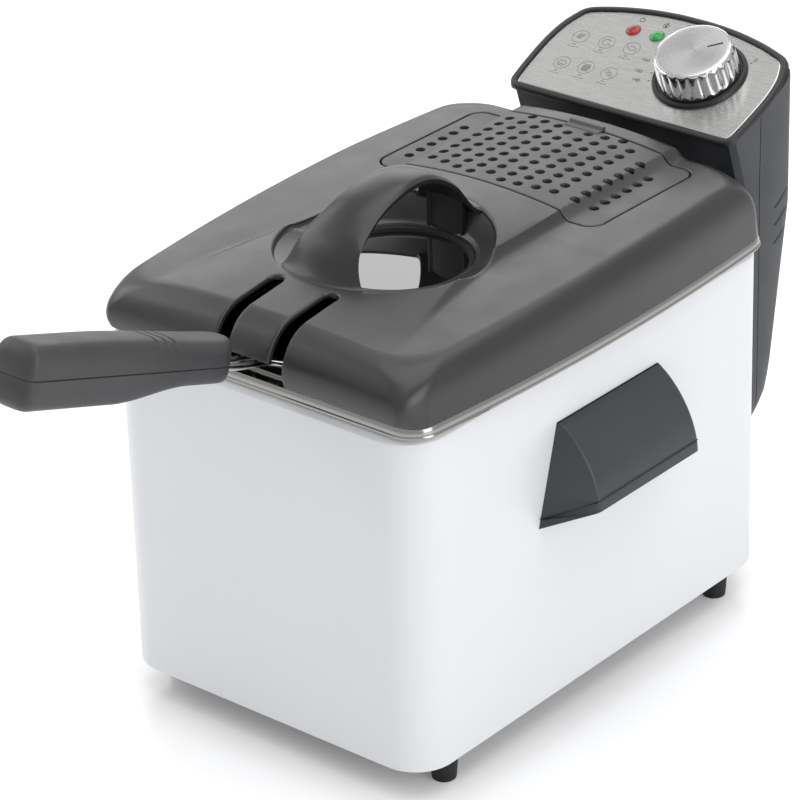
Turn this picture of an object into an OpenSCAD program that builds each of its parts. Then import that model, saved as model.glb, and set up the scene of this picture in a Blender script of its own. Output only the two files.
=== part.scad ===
// Household deep fryer with a lift-out basket, oil pot and control head.
// Millimetres. +Z is up, the basket grip points to -Y, the control head is at +Y.

/* [Body] */
// Width of the straight body walls
body_w = 200; // [185:1:225]
// Length of the body from the front wall to the back wall
body_l = 291; // [280:1:330]
// Height of the body walls, from their lower edge to the shoulder fold
body_h = 180.5; // [165:0.5:210]
// Radius of the upright corners of the body
corner_r = 22; // [16:1:30]
// Thickness of the body sheet
shell_t = 1; // [0.8:0.1:1.5]
// Distance that the shoulder above the walls steps inwards
shoulder_in = 4; // [3:0.5:6]
// Height of the shoulder above the walls
shoulder_h = 3.5; // [2:0.5:5]

/* [Feet] */
// Height of the feet below the body walls
foot_h = 16; // [12:1:22]
// Diameter of the feet where they meet the base
foot_d = 15; // [13:0.5:18]
// Distance of the feet from the centre line, front to back
foot_y = 115; // [95:1:120]
// Distance from a foot's centre to the side wall
foot_inset = 12; // [11.5:0.5:20]

/* [Pot] */
// Width of the pot's opening
pot_w = 172; // [160:1:176]
// Length of the pot's opening
pot_l = 246; // [236:1:250]
// Depth of the pot below its rim
pot_depth = 140; // [130:1:150]
// Thickness of the pot's sheet
pot_t = 1.2; // [0.8:0.1:1.6]
// Height of the visible rim band
rim_h = 5.4; // [4:0.2:7]
// Distance that the long sides of the rim bow outwards
rim_bow = 7.4; // [4:0.2:9]
// Radius of the pot's upright corners
pot_r = 26; // [20:1:34]

/* [Lid] */
// Height of the lid's side shoulders above its lower edge
lid_h = 34; // [30:0.5:40]
// Height of the raised centre above the side shoulders
hump_h = 7.5; // [5:0.5:10]
// Half width of the raised centre at the back
hump_w = 50; // [46:1:56]
// Wall thickness of the lid
lid_t = 2.4; // [2:0.1:3]
// Radius of the recess under the lid grip
recess_r = 55; // [50:1:58]
// Radius of the viewing window
window_r = 39; // [34:0.5:42]
// Rise of the lid grip above the raised centre
strap_rise = 26; // [20:1:32]
// Half width of the lid grip at its middle
strap_w = 13; // [11:0.5:16]
// Width of the two slots at the front
slot_w = 8.2; // [6:0.2:10]
// Half width of the tongue between the slots
tongue_w = 13.3; // [11:0.1:15]

/* [Filter] */
// Width of the filter cover
filter_w = 144; // [136:1:148]
// Length of the filter cover
filter_l = 84; // [78:1:86]
// Diameter of the steam holes
steam_d = 4.4; // [3:0.2:5]
// Depth of the filter well below the cover
well_depth = 17; // [14:0.5:19]

/* [Control head] */
// Slope of the control panel, in degrees
panel_tilt = 22.4; // [18:0.2:26]
// Half width of the steel fascia at its front edge
fascia_w = 69.4; // [66:0.2:71]
// Length of the fascia at its sides, along the slope
fascia_l = 59.5; // [56:0.5:62]
// Distance that the back edge of the fascia bows backwards
fascia_bow = 12.5; // [9:0.5:14]
// Wall thickness of the head's casings
head_t = 2.4; // [2:0.1:3]
// Height of the lower end of the head above the floor
head_low = 72; // [64:1:90]

/* [Knob] */
// Radius of the knob's skirt at its base
knob_r = 22; // [19:0.5:23]
// Height of the knob
knob_h = 16; // [14:0.5:20]
// Diameter of the thermostat shaft
shaft_d = 6; // [5:0.5:7]
// Angle of the off mark from the panel's right-hand direction
off_angle = 40; // [30:1:50]

/* [Carry handles] */
// Length of a carry handle along its outer edge
carry_l = 83; // [75:1:95]
// Distance that a carry handle stands out from the wall
carry_out = 27; // [24:0.5:32]
// Height of a carry handle against the wall
carry_h = 54; // [48:1:58]

/* [Basket] */
// Width of the basket
basket_w = 158; // [144:1:160]
// Length of the basket
basket_l = 208; // [194:1:210]
// Depth of the basket below the pot's rim
basket_depth = 104; // [90:1:106]
// Diameter of the handle wires
wire_d = 3.6; // [3:0.1:4]
// Length of the grip
grip_l = 150; // [135:1:165]
// Width of the grip
grip_w = 26; // [24:0.5:30]
// Upward slope of the grip, in degrees
grip_tilt = 18.6; // [12:0.1:22]

/* [Hidden] */
$fn = 48;

// Shared clearances
seat_gap = 0.3;
slide_gap = 0.6;
running_gap = 0.05;
skin = 0.01;
joint_grow = 0.03;
far = 400;

// Heights above the floor
wall_z = foot_h;
shoulder_z = wall_z + body_h;
seat_z = shoulder_z + shoulder_h;
rim_z = seat_z + seat_gap + rim_h;
lid_z = rim_z + seat_gap;
lid_top = lid_z + lid_h;
hump_top = lid_top + hump_h;

// Plan of the rim and the lid
rim_w = body_w + 0.4;
rim_l = body_l - 2.4;
rim_r = corner_r + 2;
lid_inset = 1;
nose_out = 3;
nose_share = nose_out / (rim_l / 2 - lid_inset);
slot_back = -107;
tongue_z = lid_z + 13;

// Openings of the body shell
flange_w = 3.5;
ledge_w = body_w - 2 * shoulder_in - 4;
ledge_l = body_l - 2 * shoulder_in - 4;
ledge_r = corner_r - shoulder_in - 2;

// Base plate
base_t = 3;
base_screw_x = 60;
base_screw_y = body_l / 2 - 16;
boss_r = 5;
boss_h = 16;
foot_x = body_w / 2 - foot_inset;
foot_taper = 1.2;
vent_l = 100;
vent_w = 4;
vent_pitch = 14;

// Plan of the pot's opening, set forwards to leave room for the element's plate
pot_y = -5;
pot_front = pot_y - pot_l / 2;
pot_back = pot_y + pot_l / 2;

// The panel's own frame: origin at the middle of the fascia's front edge
panel_y = body_l / 2 + 4;
panel_z = hump_top + 0.2;
bezel_w = 3.6;
bezel_h = 1.6;
fascia_t = 1.2;
fascia_bulge = 2;
fascia_back = fascia_w - 5.2;
bush_r = shaft_d / 2 + 2;
flutes = 20;
flute_r = 2.2;

// Knob and lamps, in the panel's frame
knob_u = 27.1;
knob_v = 36.8;
ring_w = 3.6;
lamp_r = 4;
lamp_depth = 4;
lamp_edge = 0.4;
lamp_dome_r = 6.1;
lamp_v = 56.1;
red_u = -29.6;
green_u = -13.9;

// Outline of the control head
head_front_y = body_l / 2 + 2.5;
head_back_y = panel_y + fascia_l * cos(panel_tilt);
head_w = fascia_w + bezel_w;
head_bow = fascia_bow + 1.5;
seam_y = head_front_y + 23;
head_screw_x = 52;
head_screw_out = 2.8;
head_top = panel_z + 60;
neck_y = head_front_y + 8;

// Element and its plate
tube_r = 3.6;
element_run = 64;
element_in = 24;
clamp_runs = [20, 36];
element_z = rim_z - pot_depth + 19;
riser_y = pot_back - 11;
riser_x = 18;
riser_z = rim_z + 8;
bulb_x = 6;
bulb_y = riser_y - 12;
bulb_z = element_z + 10;
bulb_r = 2.4;
capillary_r = 0.9;
clamp_w = 6;
clamp_t = 1;
plate_w = 45;
plate_t = 1.5;
plate_y = riser_y + tube_r + 1.5;
plate_z = rim_z + 2;
element_end = neck_y + 12;

// Basket
basket_y = pot_front + 7 + basket_l / 2;
basket_front = basket_y - basket_l / 2;
basket_top = rim_z - 7;
basket_low = rim_z - basket_depth;
mesh_t = 1.2;
basket_r = pot_r - 6;
rod_r = 1.8;
wire_r = wire_d / 2;
wire_apart = 5;
bracket_w = 26;
bracket_t = 0.8;
bracket_lip_t = 1.2;
hook_apart = 17.4;
wire_down_y = basket_front - 3.4;
lip_y = pot_front - 8;

// Grip of the basket handle
grip_y = -body_l / 2 - 16.5;
grip_z = rim_z + 18;
grip_low_in = 9;
grip_low_out = 15.5;
grip_top_in = 12;
grip_top_out = 16.5;
grip_gap = 0.2;

// Lid grip and window
bowl_y = -36;
bowl_t = 2;
bowl_z = lid_top - 10;
window_z = bowl_z - 7;
window_t = 3;
strap_front = bowl_y - recess_r - 2;
strap_back = bowl_y + recess_r + 8;
strap_half = (strap_back - strap_front) / 2;
strap_mid = (strap_back + strap_front) / 2;
strap_t = 4;
strap_leg_w = 11.8;

// Filter
filter_y = 35.5 + filter_l / 2;
filter_r = 9;
filter_gap = 0.7;
cover_t = 2.4;
well_wall = 1.6;
steam_cols = 13;
steam_rows = 7;
steam_pitch_x = 9.6;
steam_pitch_y = 10.2;
latch_w = 22;

// Carry handles
carry_y = 4.75;
carry_top = shoulder_z - 26.5;
carry_low = carry_top - carry_h;
carry_flare = 15.5;
carry_t = 2.6;
carry_rise = 12.3;
trim_h = 6;
carry_screw_y = carry_l / 2 - 12;
carry_screw_z = carry_top - 12;
carry_boss_r = 4.5;
// Shares of a carry handle's height at which its outline is drawn
carry_steps = [1, 0.9, 0.8, 0.66, 0.52, 0.38, 0.26, 0.16, 0.08, 0.02];

// Rail of the control head
rail_x = 18;
rail_low = head_low + 16;
rail_high = shoulder_z - 12;
rail_stem = 4;
rail_tee = 9;

// Reset button, cord gland and screws
back_slope_z = 150;
reset_x = 34;
reset_r = 5;
reset_travel = 1.5;
reset_out = 2.5;
gland_x = -38;
gland_z = 112;
gland_r = 3.8;
gland_outer = 7;
gland_l = 16;
screw_r = 1.9;
screw_head_r = 3.4;
screw_head_h = 2.2;

// Distance that brings the middle of the whole outline over the origin
frame_y = -((head_back_y + head_bow) + (grip_y - grip_l * cos(grip_tilt) - 4)) / 2;

// ---- Plain shapes ----

// Rectangle with round corners, made of true arcs
module rounded(w, l, r) {
    square([w - 2 * r, l], center = true);
    square([w, l - 2 * r], center = true);
    for (sx = [-1, 1], sy = [-1, 1])
        translate([sx * (w / 2 - r), sy * (l / 2 - r)]) circle(r);
}

module slab(w, l, r, low, high) {
    translate([0, 0, low]) linear_extrude(high - low) rounded(w, l, r);
}

// Points of an arc, angles in degrees
function arc(cx, cy, r, a0, a1, n = 6) =
    [for (i = [0:n]) let (a = a0 + (a1 - a0) * i / n) [cx + r * cos(a), cy + r * sin(a)]];

// Points from p to q, without q
function along(p, q, n) = [for (i = [0:n - 1]) p + (q - p) * i / n];

// Plan of the rim: round corners, long sides bowed outwards
function bow_x(p, w, l, bow) =
    [p[0] * (1 + bow * (1 - pow(2 * p[1] / l, 2)) / (w / 2)), p[1]];
function bowed(w, l, r, bow) = [for (p = concat(
        along([w / 2, -l / 2 + r], [w / 2, l / 2 - r], 8),
        arc(w / 2 - r, l / 2 - r, r, 0, 90),
        arc(-w / 2 + r, l / 2 - r, r, 90, 180),
        along([-w / 2, l / 2 - r], [-w / 2, -l / 2 + r], 8),
        arc(-w / 2 + r, -l / 2 + r, r, 180, 270),
        arc(w / 2 - r, -l / 2 + r, r, 270, 360, 5)))
    bow_x(p, w, l, bow)];

module bowed_slab(inset, low, high) {
    translate([0, 0, low]) linear_extrude(high - low)
        polygon(bowed(rim_w - 2 * inset, rim_l - 2 * inset, rim_r - inset, rim_bow));
}

// Solid through a list of rings that all have the same number of points
module loft(rings) {
    n = len(rings[0]);
    m = len(rings);
    polyhedron(
        points = [for (ring = rings, p = ring) p],
        faces = concat(
            [[for (i = [0:n - 1]) i]],
            [for (k = [0:m - 2], i = [0:n - 1]) let (j = (i + 1) % n)
                each [[k * n + i, (k + 1) * n + i, (k + 1) * n + j],
                    [k * n + i, (k + 1) * n + j, k * n + j]]],
            [[for (i = [n - 1:-1:0]) (m - 1) * n + i]]));
}

// Round bar along a list of points
module bar(points, r) {
    for (i = [0:len(points) - 2]) {
        d = points[i + 1] - points[i];
        translate(points[i]) rotate([0, acos(d[2] / norm(d)), atan2(d[1], d[0])])
            cylinder(h = norm(d), r = r);
    }
    for (i = [1:1:len(points) - 2]) translate(points[i]) sphere(r + joint_grow);
}

// Screw whose head's underside is at the origin and whose thread points to -Z
module screw(length) {
    translate([0, 0, -length]) cylinder(h = length, r = screw_r);
    difference() {
        cylinder(h = screw_head_h, r = screw_head_r);
        for (a = [0, 90]) rotate([0, 0, a])
            translate([-2, -0.4, screw_head_h - 1]) cube([4, 0.8, 2]);
    }
}

// ---- Body ----

module outer_shell() {
    color("white") {
        difference() {
            slab(body_w, body_l, corner_r, wall_z, shoulder_z);
            slab(body_w - 2 * shell_t, body_l - 2 * shell_t, corner_r - shell_t,
                wall_z + shell_t, shoulder_z + 1);
            slab(body_w - 2 * flange_w, body_l - 2 * flange_w, corner_r - flange_w,
                wall_z - 1, wall_z + 2 * shell_t);
            carry_screw_places() cylinder(h = 20, r = screw_r + 0.3, center = true);
            rail_screw_places() cylinder(h = 20, r = screw_r + 0.3, center = true);
        }
        difference() {
            hull() {
                slab(body_w, body_l, corner_r, shoulder_z, shoulder_z + skin);
                slab(body_w - 2 * shoulder_in, body_l - 2 * shoulder_in,
                    corner_r - shoulder_in, seat_z - shell_t, seat_z);
            }
            hull() {
                slab(body_w - 2 * shell_t, body_l - 2 * shell_t, corner_r - shell_t,
                    shoulder_z - 1, shoulder_z);
                slab(ledge_w, ledge_l, ledge_r, seat_z - shell_t, seat_z + 1);
            }
        }
    }
}

module base_plate() {
    inner = flange_w + 0.4;
    upper = shell_t + 0.4;
    color([0.12, 0.12, 0.13]) difference() {
        union() {
            slab(body_w - 2 * inner, body_l - 2 * inner, corner_r - inner,
                wall_z, wall_z + base_t);
            slab(body_w - 2 * upper, body_l - 2 * upper, corner_r - upper,
                wall_z + shell_t + 0.1, wall_z + base_t);
            for (x = [-1, 1], y = [-1, 1])
                translate([x * base_screw_x, y * base_screw_y, wall_z + base_t - 1])
                    cylinder(h = boss_h, r = boss_r);
            foot_places() translate([0, 0, wall_z + base_t - 1]) cylinder(h = 9, r = boss_r + 0.5);
        }
        foot_places() translate([0, 0, wall_z - 1]) cylinder(h = 11, r = screw_r + skin);
        for (x = [-1, 1], y = [-1, 1])
            translate([x * base_screw_x, y * base_screw_y, wall_z - 1])
                cylinder(h = boss_h - 2, r = screw_r + skin);
        for (y = [-3:3]) translate([-vent_l / 2, y * vent_pitch - vent_w / 2, wall_z - 1])
            cube([vent_l, vent_w, base_t + 2]);
    }
}

module foot_places() {
    for (x = [-1, 1], y = [-1, 1]) translate([x * foot_x, y * foot_y, 0]) children();
}

module feet() {
    color([0.05, 0.05, 0.05]) foot_places() difference() {
        cylinder(h = foot_h, r1 = foot_d / 2 - foot_taper, r2 = foot_d / 2);
        translate([0, 0, -1]) cylinder(h = foot_h - 5, r = screw_head_r + 0.4);
        translate([0, 0, -1]) cylinder(h = foot_h + 2, r = screw_r + 0.2);
    }
}

module foot_screws() {
    color("silver") foot_places() translate([0, 0, foot_h - 6])
        rotate([180, 0, 0]) screw(14);
}

module base_screws() {
    color("silver") for (x = [-1, 1], y = [-1, 1])
        translate([x * base_screw_x, y * base_screw_y, wall_z]) rotate([180, 0, 0]) screw(12);
}

// ---- Carry handles ----

// Distance from the wall at a height given as a share of the handle's height
function carry_x(s) = carry_out * pow(sin(90 * min(s / 0.8, 1)), 0.66);

// Ring of the handle's outline at share s below its top, shrunk by t
function carry_ring(s, t) =
    let (x = carry_x(s) - t, y = carry_l / 2 - t, f = y + carry_flare * s,
        z = carry_top - t - (carry_h - t) * s)
    [[0, -f, z], [max(x, 0.4), -y, z], [max(x, 0.4), y, z], [0, f, z]];

module carry_form(t) {
    loft([for (s = carry_steps) carry_ring(s, t)]);
}

// Region below the sloping underside of a handle, raised by h
module below_handle(h) {
    slope = carry_rise / carry_out;
    rotate([90, 0, 0]) linear_extrude(far, center = true)
        polygon([[-10, carry_low + h - 10 * slope], [60, carry_low + h + 60 * slope],
            [60, carry_low - 60], [-10, carry_low - 60]]);
}

module carry_shell() {
    difference() {
        carry_form(0);
        translate([-1, 0, 0]) carry_form(carry_t);
        below_handle(0);
    }
    for (y = [-1, 1]) translate([0, y * carry_screw_y, carry_screw_z]) rotate([0, 90, 0])
        difference() {
            cylinder(h = 6, r = carry_boss_r);
            translate([0, 0, -1]) cylinder(h = 6, r = screw_r);
        }
}

module carry_screw_places() {
    for (sx = [-1, 1], sy = [-1, 1])
        translate([sx * body_w / 2, carry_y + sy * carry_screw_y, carry_screw_z])
            rotate([0, 90, 0]) children();
}

module carry_handle() {
    difference() {
        carry_shell();
        below_handle(trim_h + grip_gap);
    }
}

module carry_trim() {
    intersection() {
        difference() {
            carry_form(0);
            translate([-1, 0, 0]) carry_form(carry_t + 1.2);
            below_handle(0);
        }
        below_handle(trim_h);
    }
}

module on_right() {
    translate([body_w / 2, carry_y, 0]) children();
}

module on_left() {
    mirror([1, 0, 0]) on_right() children();
}

module carry_handle_right() {
    color([0.2, 0.21, 0.23]) on_right() carry_handle();
}

module carry_handle_left() {
    color([0.2, 0.21, 0.23]) on_left() carry_handle();
}

module carry_trim_right() {
    color([0.18, 0.19, 0.21]) on_right() carry_trim();
}

module carry_trim_left() {
    color([0.18, 0.19, 0.21]) on_left() carry_trim();
}

module carry_screws() {
    color("silver") for (side = [0, 1]) mirror([side, 0, 0])
        for (sy = [-1, 1])
            translate([body_w / 2 - shell_t, carry_y + sy * carry_screw_y, carry_screw_z])
                rotate([0, -90, 0]) screw(5);
}

// ---- Rail for the control head ----

module rail_screw_places() {
    for (x = [-1, 1], z = [rail_low + 8, rail_high - 8])
        translate([x * (rail_x - 5), body_l / 2, z]) rotate([90, 0, 0]) children();
}

module head_rail() {
    y = body_l / 2;
    color("silver") difference() {
        union() {
            translate([-rail_x, y, rail_low]) cube([2 * rail_x, 1.6, rail_high - rail_low]);
            translate([-rail_stem, y, rail_low]) cube([2 * rail_stem, 7, rail_high - rail_low]);
            translate([-rail_tee, y + 5.6, rail_low]) cube([2 * rail_tee, 1.6, rail_high - rail_low]);
        }
        rail_screw_places() cylinder(h = 8, r = screw_r, center = true);
    }
}

module rail_screws() {
    color("silver") for (x = [-1, 1], z = [rail_low + 8, rail_high - 8])
        translate([x * (rail_x - 5), body_l / 2 - shell_t, z]) rotate([90, 0, 0]) screw(2.6);
}

// ---- Oil pot ----

module pot_plan(inset) {
    translate([0, pot_y]) rounded(pot_w - 2 * inset, pot_l - 2 * inset, pot_r - inset);
}

module oil_pot() {
    low = rim_z - pot_depth;
    color("lightgray") {
        difference() {
            bowed_slab(0, rim_z - rim_h, rim_z);
            bowed_slab(shoulder_in + 6, rim_z - rim_h - 1, rim_z - pot_t);
            translate([0, 0, rim_z - rim_h - 1]) linear_extrude(rim_h + 2) pot_plan(0);
        }
        difference() {
            translate([0, 0, low - pot_t]) linear_extrude(pot_depth) pot_plan(-pot_t);
            translate([0, 0, low]) linear_extrude(pot_depth + 1) pot_plan(0);
        }
    }
}

// ---- Control head ----

// Depth of the head behind its front, as a share, and its front at each height
head_levels = [
    [head_low, 0.24, 0], [head_low + 4, 0.4, 0], [head_low + 10, 0.55, 0],
    [head_low + 18, 0.66, 0], [head_low + 30, 0.73, 0], [seat_z - 4, 1, 0],
    [seat_z + 4, 1, 8], [seat_z + 22, 1, 9], [panel_z - 18, 1, 5.5],
    [panel_z - 2, 1, -0.5], [head_top, 1, -0.5]];

function head_ring(level, t) =
    let (f = head_front_y + level[2] + t,
        b = head_front_y + (head_back_y - head_front_y) * level[1] - t,
        w = head_w - t, bow = head_bow * level[1],
        z = min(max(level[0], head_low + t), head_top))
    concat(
        [[-w, f, z], [w, f, z], [w + 2, f + (b - f) * 0.35, z], [w + 1.4, f + (b - f) * 0.7, z]],
        [for (i = [0:8]) let (x = (w - 3) * (1 - i / 4)) [x, b + bow * (1 - pow(x / w, 2)), z]],
        [[-w - 1.4, f + (b - f) * 0.7, z], [-w - 2, f + (b - f) * 0.35, z]]);

module head_form(t) {
    difference() {
        loft([for (level = head_levels) head_ring(level, t)]);
        on_panel() translate([-far / 2, -far / 2, -fascia_t - t]) cube([far, far, far]);
    }
}

module on_panel() {
    translate([0, panel_y, panel_z]) rotate([panel_tilt, 0, 0]) children();
}

// Outline of the fascia in the panel's frame, grown by g
function panel_outline(g) = concat(
    [[-fascia_w - g, -g], [fascia_w + g, -g],
        [fascia_w + g + fascia_bulge * 0.8, fascia_l * 0.3],
        [fascia_w + g + fascia_bulge * 0.7, fascia_l * 0.55],
        [fascia_w + g - 1.4, fascia_l * 0.8]],
    [for (i = [0:10]) let (x = (fascia_back + g) * (1 - i / 5))
        [x, fascia_l + g * 0.5 + fascia_bow * (1 - pow(x / (fascia_back + g), 2))]],
    [[-fascia_w - g + 1.4, fascia_l * 0.8],
        [-fascia_w - g - fascia_bulge * 0.7, fascia_l * 0.55],
        [-fascia_w - g - fascia_bulge * 0.8, fascia_l * 0.3]]);

module head_openings() {
    // Tubes of the element and the capillary
    for (x = [-riser_x, riser_x]) translate([x, neck_y - 20, riser_z])
        rotate([-90, 0, 0]) cylinder(h = 30, r = tube_r + 0.4);
    translate([bulb_x, neck_y - 20, riser_z]) rotate([-90, 0, 0]) cylinder(h = 30, r = capillary_r + 0.7);
    // Plate of the element
    translate([-plate_w - 0.4, neck_y - 20, plate_z - 0.3])
        cube([2 * plate_w + 0.8, 24, plate_t + 0.6]);
    // Slot for the rail
    translate([-rail_stem - slide_gap, head_front_y - 1, head_low - 1])
        cube([2 * (rail_stem + slide_gap), head_t + 4, rail_high + 2 - head_low]);
    translate([-rail_tee - slide_gap, head_front_y + 1.6, head_low - 1])
        cube([2 * (rail_tee + slide_gap), 4.4, head_t + 3]);
}

module head_front() {
    color([0.2, 0.21, 0.23]) difference() {
        head_form(0);
        head_form(head_t);
        translate([-far / 2, seam_y, 0]) cube([far, far, far]);
        head_openings();
        on_panel() translate([0, 0, -20]) linear_extrude(40) polygon(panel_outline(-3));
    }
}

module head_rear() {
    color([0.19, 0.2, 0.22]) difference() {
        head_form(0);
        head_form(head_t);
        translate([-far / 2, seam_y + grip_gap - far, 0]) cube([far, far, far]);
        on_panel() translate([0, 0, -20]) linear_extrude(40) polygon(panel_outline(-3));
        at_reset() cylinder(h = 30, r = reset_r + seat_gap, center = true);
        at_gland() cylinder(h = 30, r = gland_outer + running_gap, center = true);
        head_screw_places() cylinder(h = 30, r = screw_r + 0.3, center = true);
        // Finger grooves at the sides
        for (side = [0, 1], i = [0:2]) mirror([side, 0, 0])
            translate([head_w - 0.2, head_back_y - 6, seat_z + 6 - i * 11])
                rotate([32, 0, 0]) translate([0, -12, 0]) cube([4, 26, 1.8]);
    }
}

// Back face of the head at height z
function back_share(z) = 0.73 + 0.27 * (z - head_low - 30) / (seat_z - 4 - head_low - 30);
function back_y(x, z) =
    head_front_y + (head_back_y - head_front_y) * back_share(z)
    + head_bow * back_share(z) * (1 - pow(x / head_w, 2));

module at_reset() {
    translate([reset_x, back_y(reset_x, back_slope_z), back_slope_z]) rotate([-90, 0, 0]) children();
}

module at_gland() {
    translate([gland_x, back_y(gland_x, gland_z), gland_z]) rotate([-90, 0, 0]) children();
}

module head_screw_places() {
    for (x = [-head_screw_x, head_screw_x], z = [head_low + 40, seat_z - 8])
        translate([x, back_y(x, z) - 1, z]) rotate([-90, 0, 0]) children();
}

module head_screws() {
    color("silver") head_screw_places() translate([0, 0, head_screw_out]) screw(9);
}

module panel_bezel() {
    color([0.22, 0.23, 0.25]) on_panel() translate([0, 0, -fascia_t + skin])
        linear_extrude(bezel_h + fascia_t) difference() {
            polygon(panel_outline(bezel_w));
            polygon(panel_outline(0.15));
        }
}

module fascia_plate() {
    color([0.75, 0.74, 0.72]) on_panel() translate([0, 0, -fascia_t + skin])
        difference() {
            linear_extrude(fascia_t) polygon(panel_outline(0));
            translate([knob_u, knob_v, -1]) cylinder(h = 4, r = bush_r + 0.2);
            for (u = [red_u, green_u]) translate([u, lamp_v, -1]) cylinder(h = 4, r = lamp_r + 0.15);
        }
}

module knob_ring() {
    color("black") on_panel() translate([knob_u, knob_v, skin]) difference() {
        cylinder(h = 1.5, r = knob_r + 0.8 + ring_w);
        translate([0, 0, -1]) cylinder(h = 4, r = knob_r + 0.8);
    }
}

module lamp(u, tone) {
    color(tone) on_panel() translate([u, lamp_v, -lamp_depth]) {
        cylinder(h = lamp_depth + lamp_edge, r = lamp_r);
        translate([0, 0, lamp_depth + lamp_edge]) difference() {
            translate([0, 0, -sqrt(pow(lamp_dome_r, 2) - pow(lamp_r, 2))]) sphere(lamp_dome_r);
            translate([0, 0, -far]) cylinder(h = far, r = far / 2);
        }
    }
}

module lamp_red() {
    lamp(red_u, "red");
}

module lamp_green() {
    lamp(green_u, "green");
}

module lamp_holders() {
    color([0.85, 0.85, 0.8]) for (u = [red_u, green_u]) on_panel()
        translate([u, lamp_v, -lamp_depth - 16]) cylinder(h = 16, r = lamp_r);
}

module thermostat() {
    color([0.8, 0.75, 0.6]) on_panel() translate([knob_u, knob_v, 0]) difference() {
        union() {
            translate([0, 0, -30]) cylinder(h = 20, r = 17);
            translate([-20, -6, -10]) cube([40, 12, 1.5]);
            translate([0, 0, -12]) cylinder(h = 12, r = bush_r);
        }
        translate([0, 0, -20]) cylinder(h = 30, r = shaft_d / 2 + running_gap);
    }
}

module capillary_tube() {
    color([0.75, 0.45, 0.3]) bar([[bulb_x, neck_y + 18, riser_z + 6], [bulb_x, neck_y + 10, riser_z],
        [bulb_x, plate_y - 5, riser_z], [bulb_x, plate_y - 5, bulb_z + 4],
        [bulb_x, bulb_y, bulb_z]], capillary_r);
}

module sensor_bulb() {
    color("silver") translate([bulb_x, bulb_y - 0.4, bulb_z])
        rotate([90, 0, 0]) cylinder(h = 62, r = bulb_r);
}

module sensor_clamp() {
    span = element_in + 2;
    low = element_z - tube_r;
    color("silver") for (run = clamp_runs) {
        translate([-span, riser_y - run - clamp_w / 2, low - clamp_t]) cube([2 * span, clamp_w, clamp_t]);
        translate([bulb_x - clamp_t, riser_y - run - clamp_w / 2, low - clamp_t])
            cube([2 * clamp_t, clamp_w, bulb_z - bulb_r - low + clamp_t]);
    }
}

module thermal_cutout() {
    color([0.15, 0.15, 0.15]) at_reset() {
        translate([0, 0, -38]) difference() {
            cylinder(h = 20, r = 11);
            translate([0, 0, 8]) cylinder(h = 13, r = reset_r + 0.3);
        }
    }
}

module reset_button() {
    color([0.7, 0.1, 0.08]) at_reset() {
        translate([0, 0, -18]) cylinder(h = 18 + reset_out, r = reset_r);
        translate([0, 0, -head_t - 5]) cylinder(h = 1.6, r = reset_r + 2);
    }
}

module reset_spring() {
    color("silver") at_reset() translate([0, 0, -28]) difference() {
        cylinder(h = 10, r = 4);
        translate([0, 0, -1]) cylinder(h = 12, r = 3.2);
    }
}

module interlock_switch() {
    color([0.1, 0.1, 0.1]) translate([20, head_front_y + head_t + 1, rail_high - 30]) cube([20, 8, 12]);
}

module terminal_block() {
    color([0.9, 0.9, 0.85]) translate([-30, head_front_y + 12, 140]) difference() {
        cube([40, 14, 16]);
        for (i = [0:2]) translate([7 + i * 13, 7, 8]) cylinder(h = 10, r = 2.4);
    }
}

module inner_leads() {
    color([0.6, 0.2, 0.1]) for (i = [0:2])
        bar([[-23 + i * 13, head_front_y + 19, 158], [-23 + i * 13, head_front_y + 19, 176],
            [-20 + i * 13, head_front_y + 26, 200], [-20 + i * 13, head_front_y + 26, 214]], 1.3);
}

module element_plate() {
    low = element_z + 16;
    end = neck_y + 2;
    color("lightgray") difference() {
        union() {
            translate([-plate_w, plate_y, low]) cube([2 * plate_w, plate_t, plate_z + plate_t - low]);
            translate([-plate_w, plate_y, plate_z]) cube([2 * plate_w, end - plate_y, plate_t]);
            translate([-plate_w, basket_y + basket_l / 2 + 1.5, basket_top - 8])
                cube([8, plate_y - basket_y - basket_l / 2, plate_t]);
            translate([plate_w - 8, basket_y + basket_l / 2 + 1.5, basket_top - 8])
                cube([8, plate_y - basket_y - basket_l / 2, plate_t]);
        }
        for (i = [-3:3]) translate([i * 11 - 2, plate_y - 1, low + 8]) cube([4, 4, 40]);
    }
}

module heating_element() {
    front = pot_front + 22;
    mid = riser_y - 46;
    back = riser_y;
    z = element_z;
    color([0.35, 0.33, 0.32]) bar([
        [-riser_x, element_end, riser_z], [-riser_x, back, riser_z], [-riser_x, back, z],
        [-element_run, back, z], [-element_run, front, z], [-element_in, front, z],
        [-element_in, mid, z], [element_in, mid, z], [element_in, front, z],
        [element_run, front, z], [element_run, back, z], [riser_x, back, z],
        [riser_x, back, riser_z], [riser_x, element_end, riser_z]], tube_r);
}

module element_nuts() {
    color([0.8, 0.65, 0.3]) for (x = [-riser_x, riser_x])
        translate([x, neck_y + 4, riser_z]) rotate([-90, 0, 0]) difference() {
            cylinder(h = 5, r = 7, $fn = 6);
            translate([0, 0, -1]) cylinder(h = 7, r = tube_r + skin);
        }
}

module cord_gland() {
    color([0.08, 0.08, 0.08]) at_gland() difference() {
        union() {
            translate([0, 0, -gland_l + 7]) cylinder(h = gland_l, r = gland_outer);
            translate([0, 0, 2.6]) cylinder(h = 2, r = gland_outer + 2);
        }
        translate([0, 0, -gland_l]) cylinder(h = 2 * gland_l, r = gland_r);
    }
}

// ---- Knob ----

module on_knob() {
    on_panel() translate([knob_u, knob_v, 0]) children();
}

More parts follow.
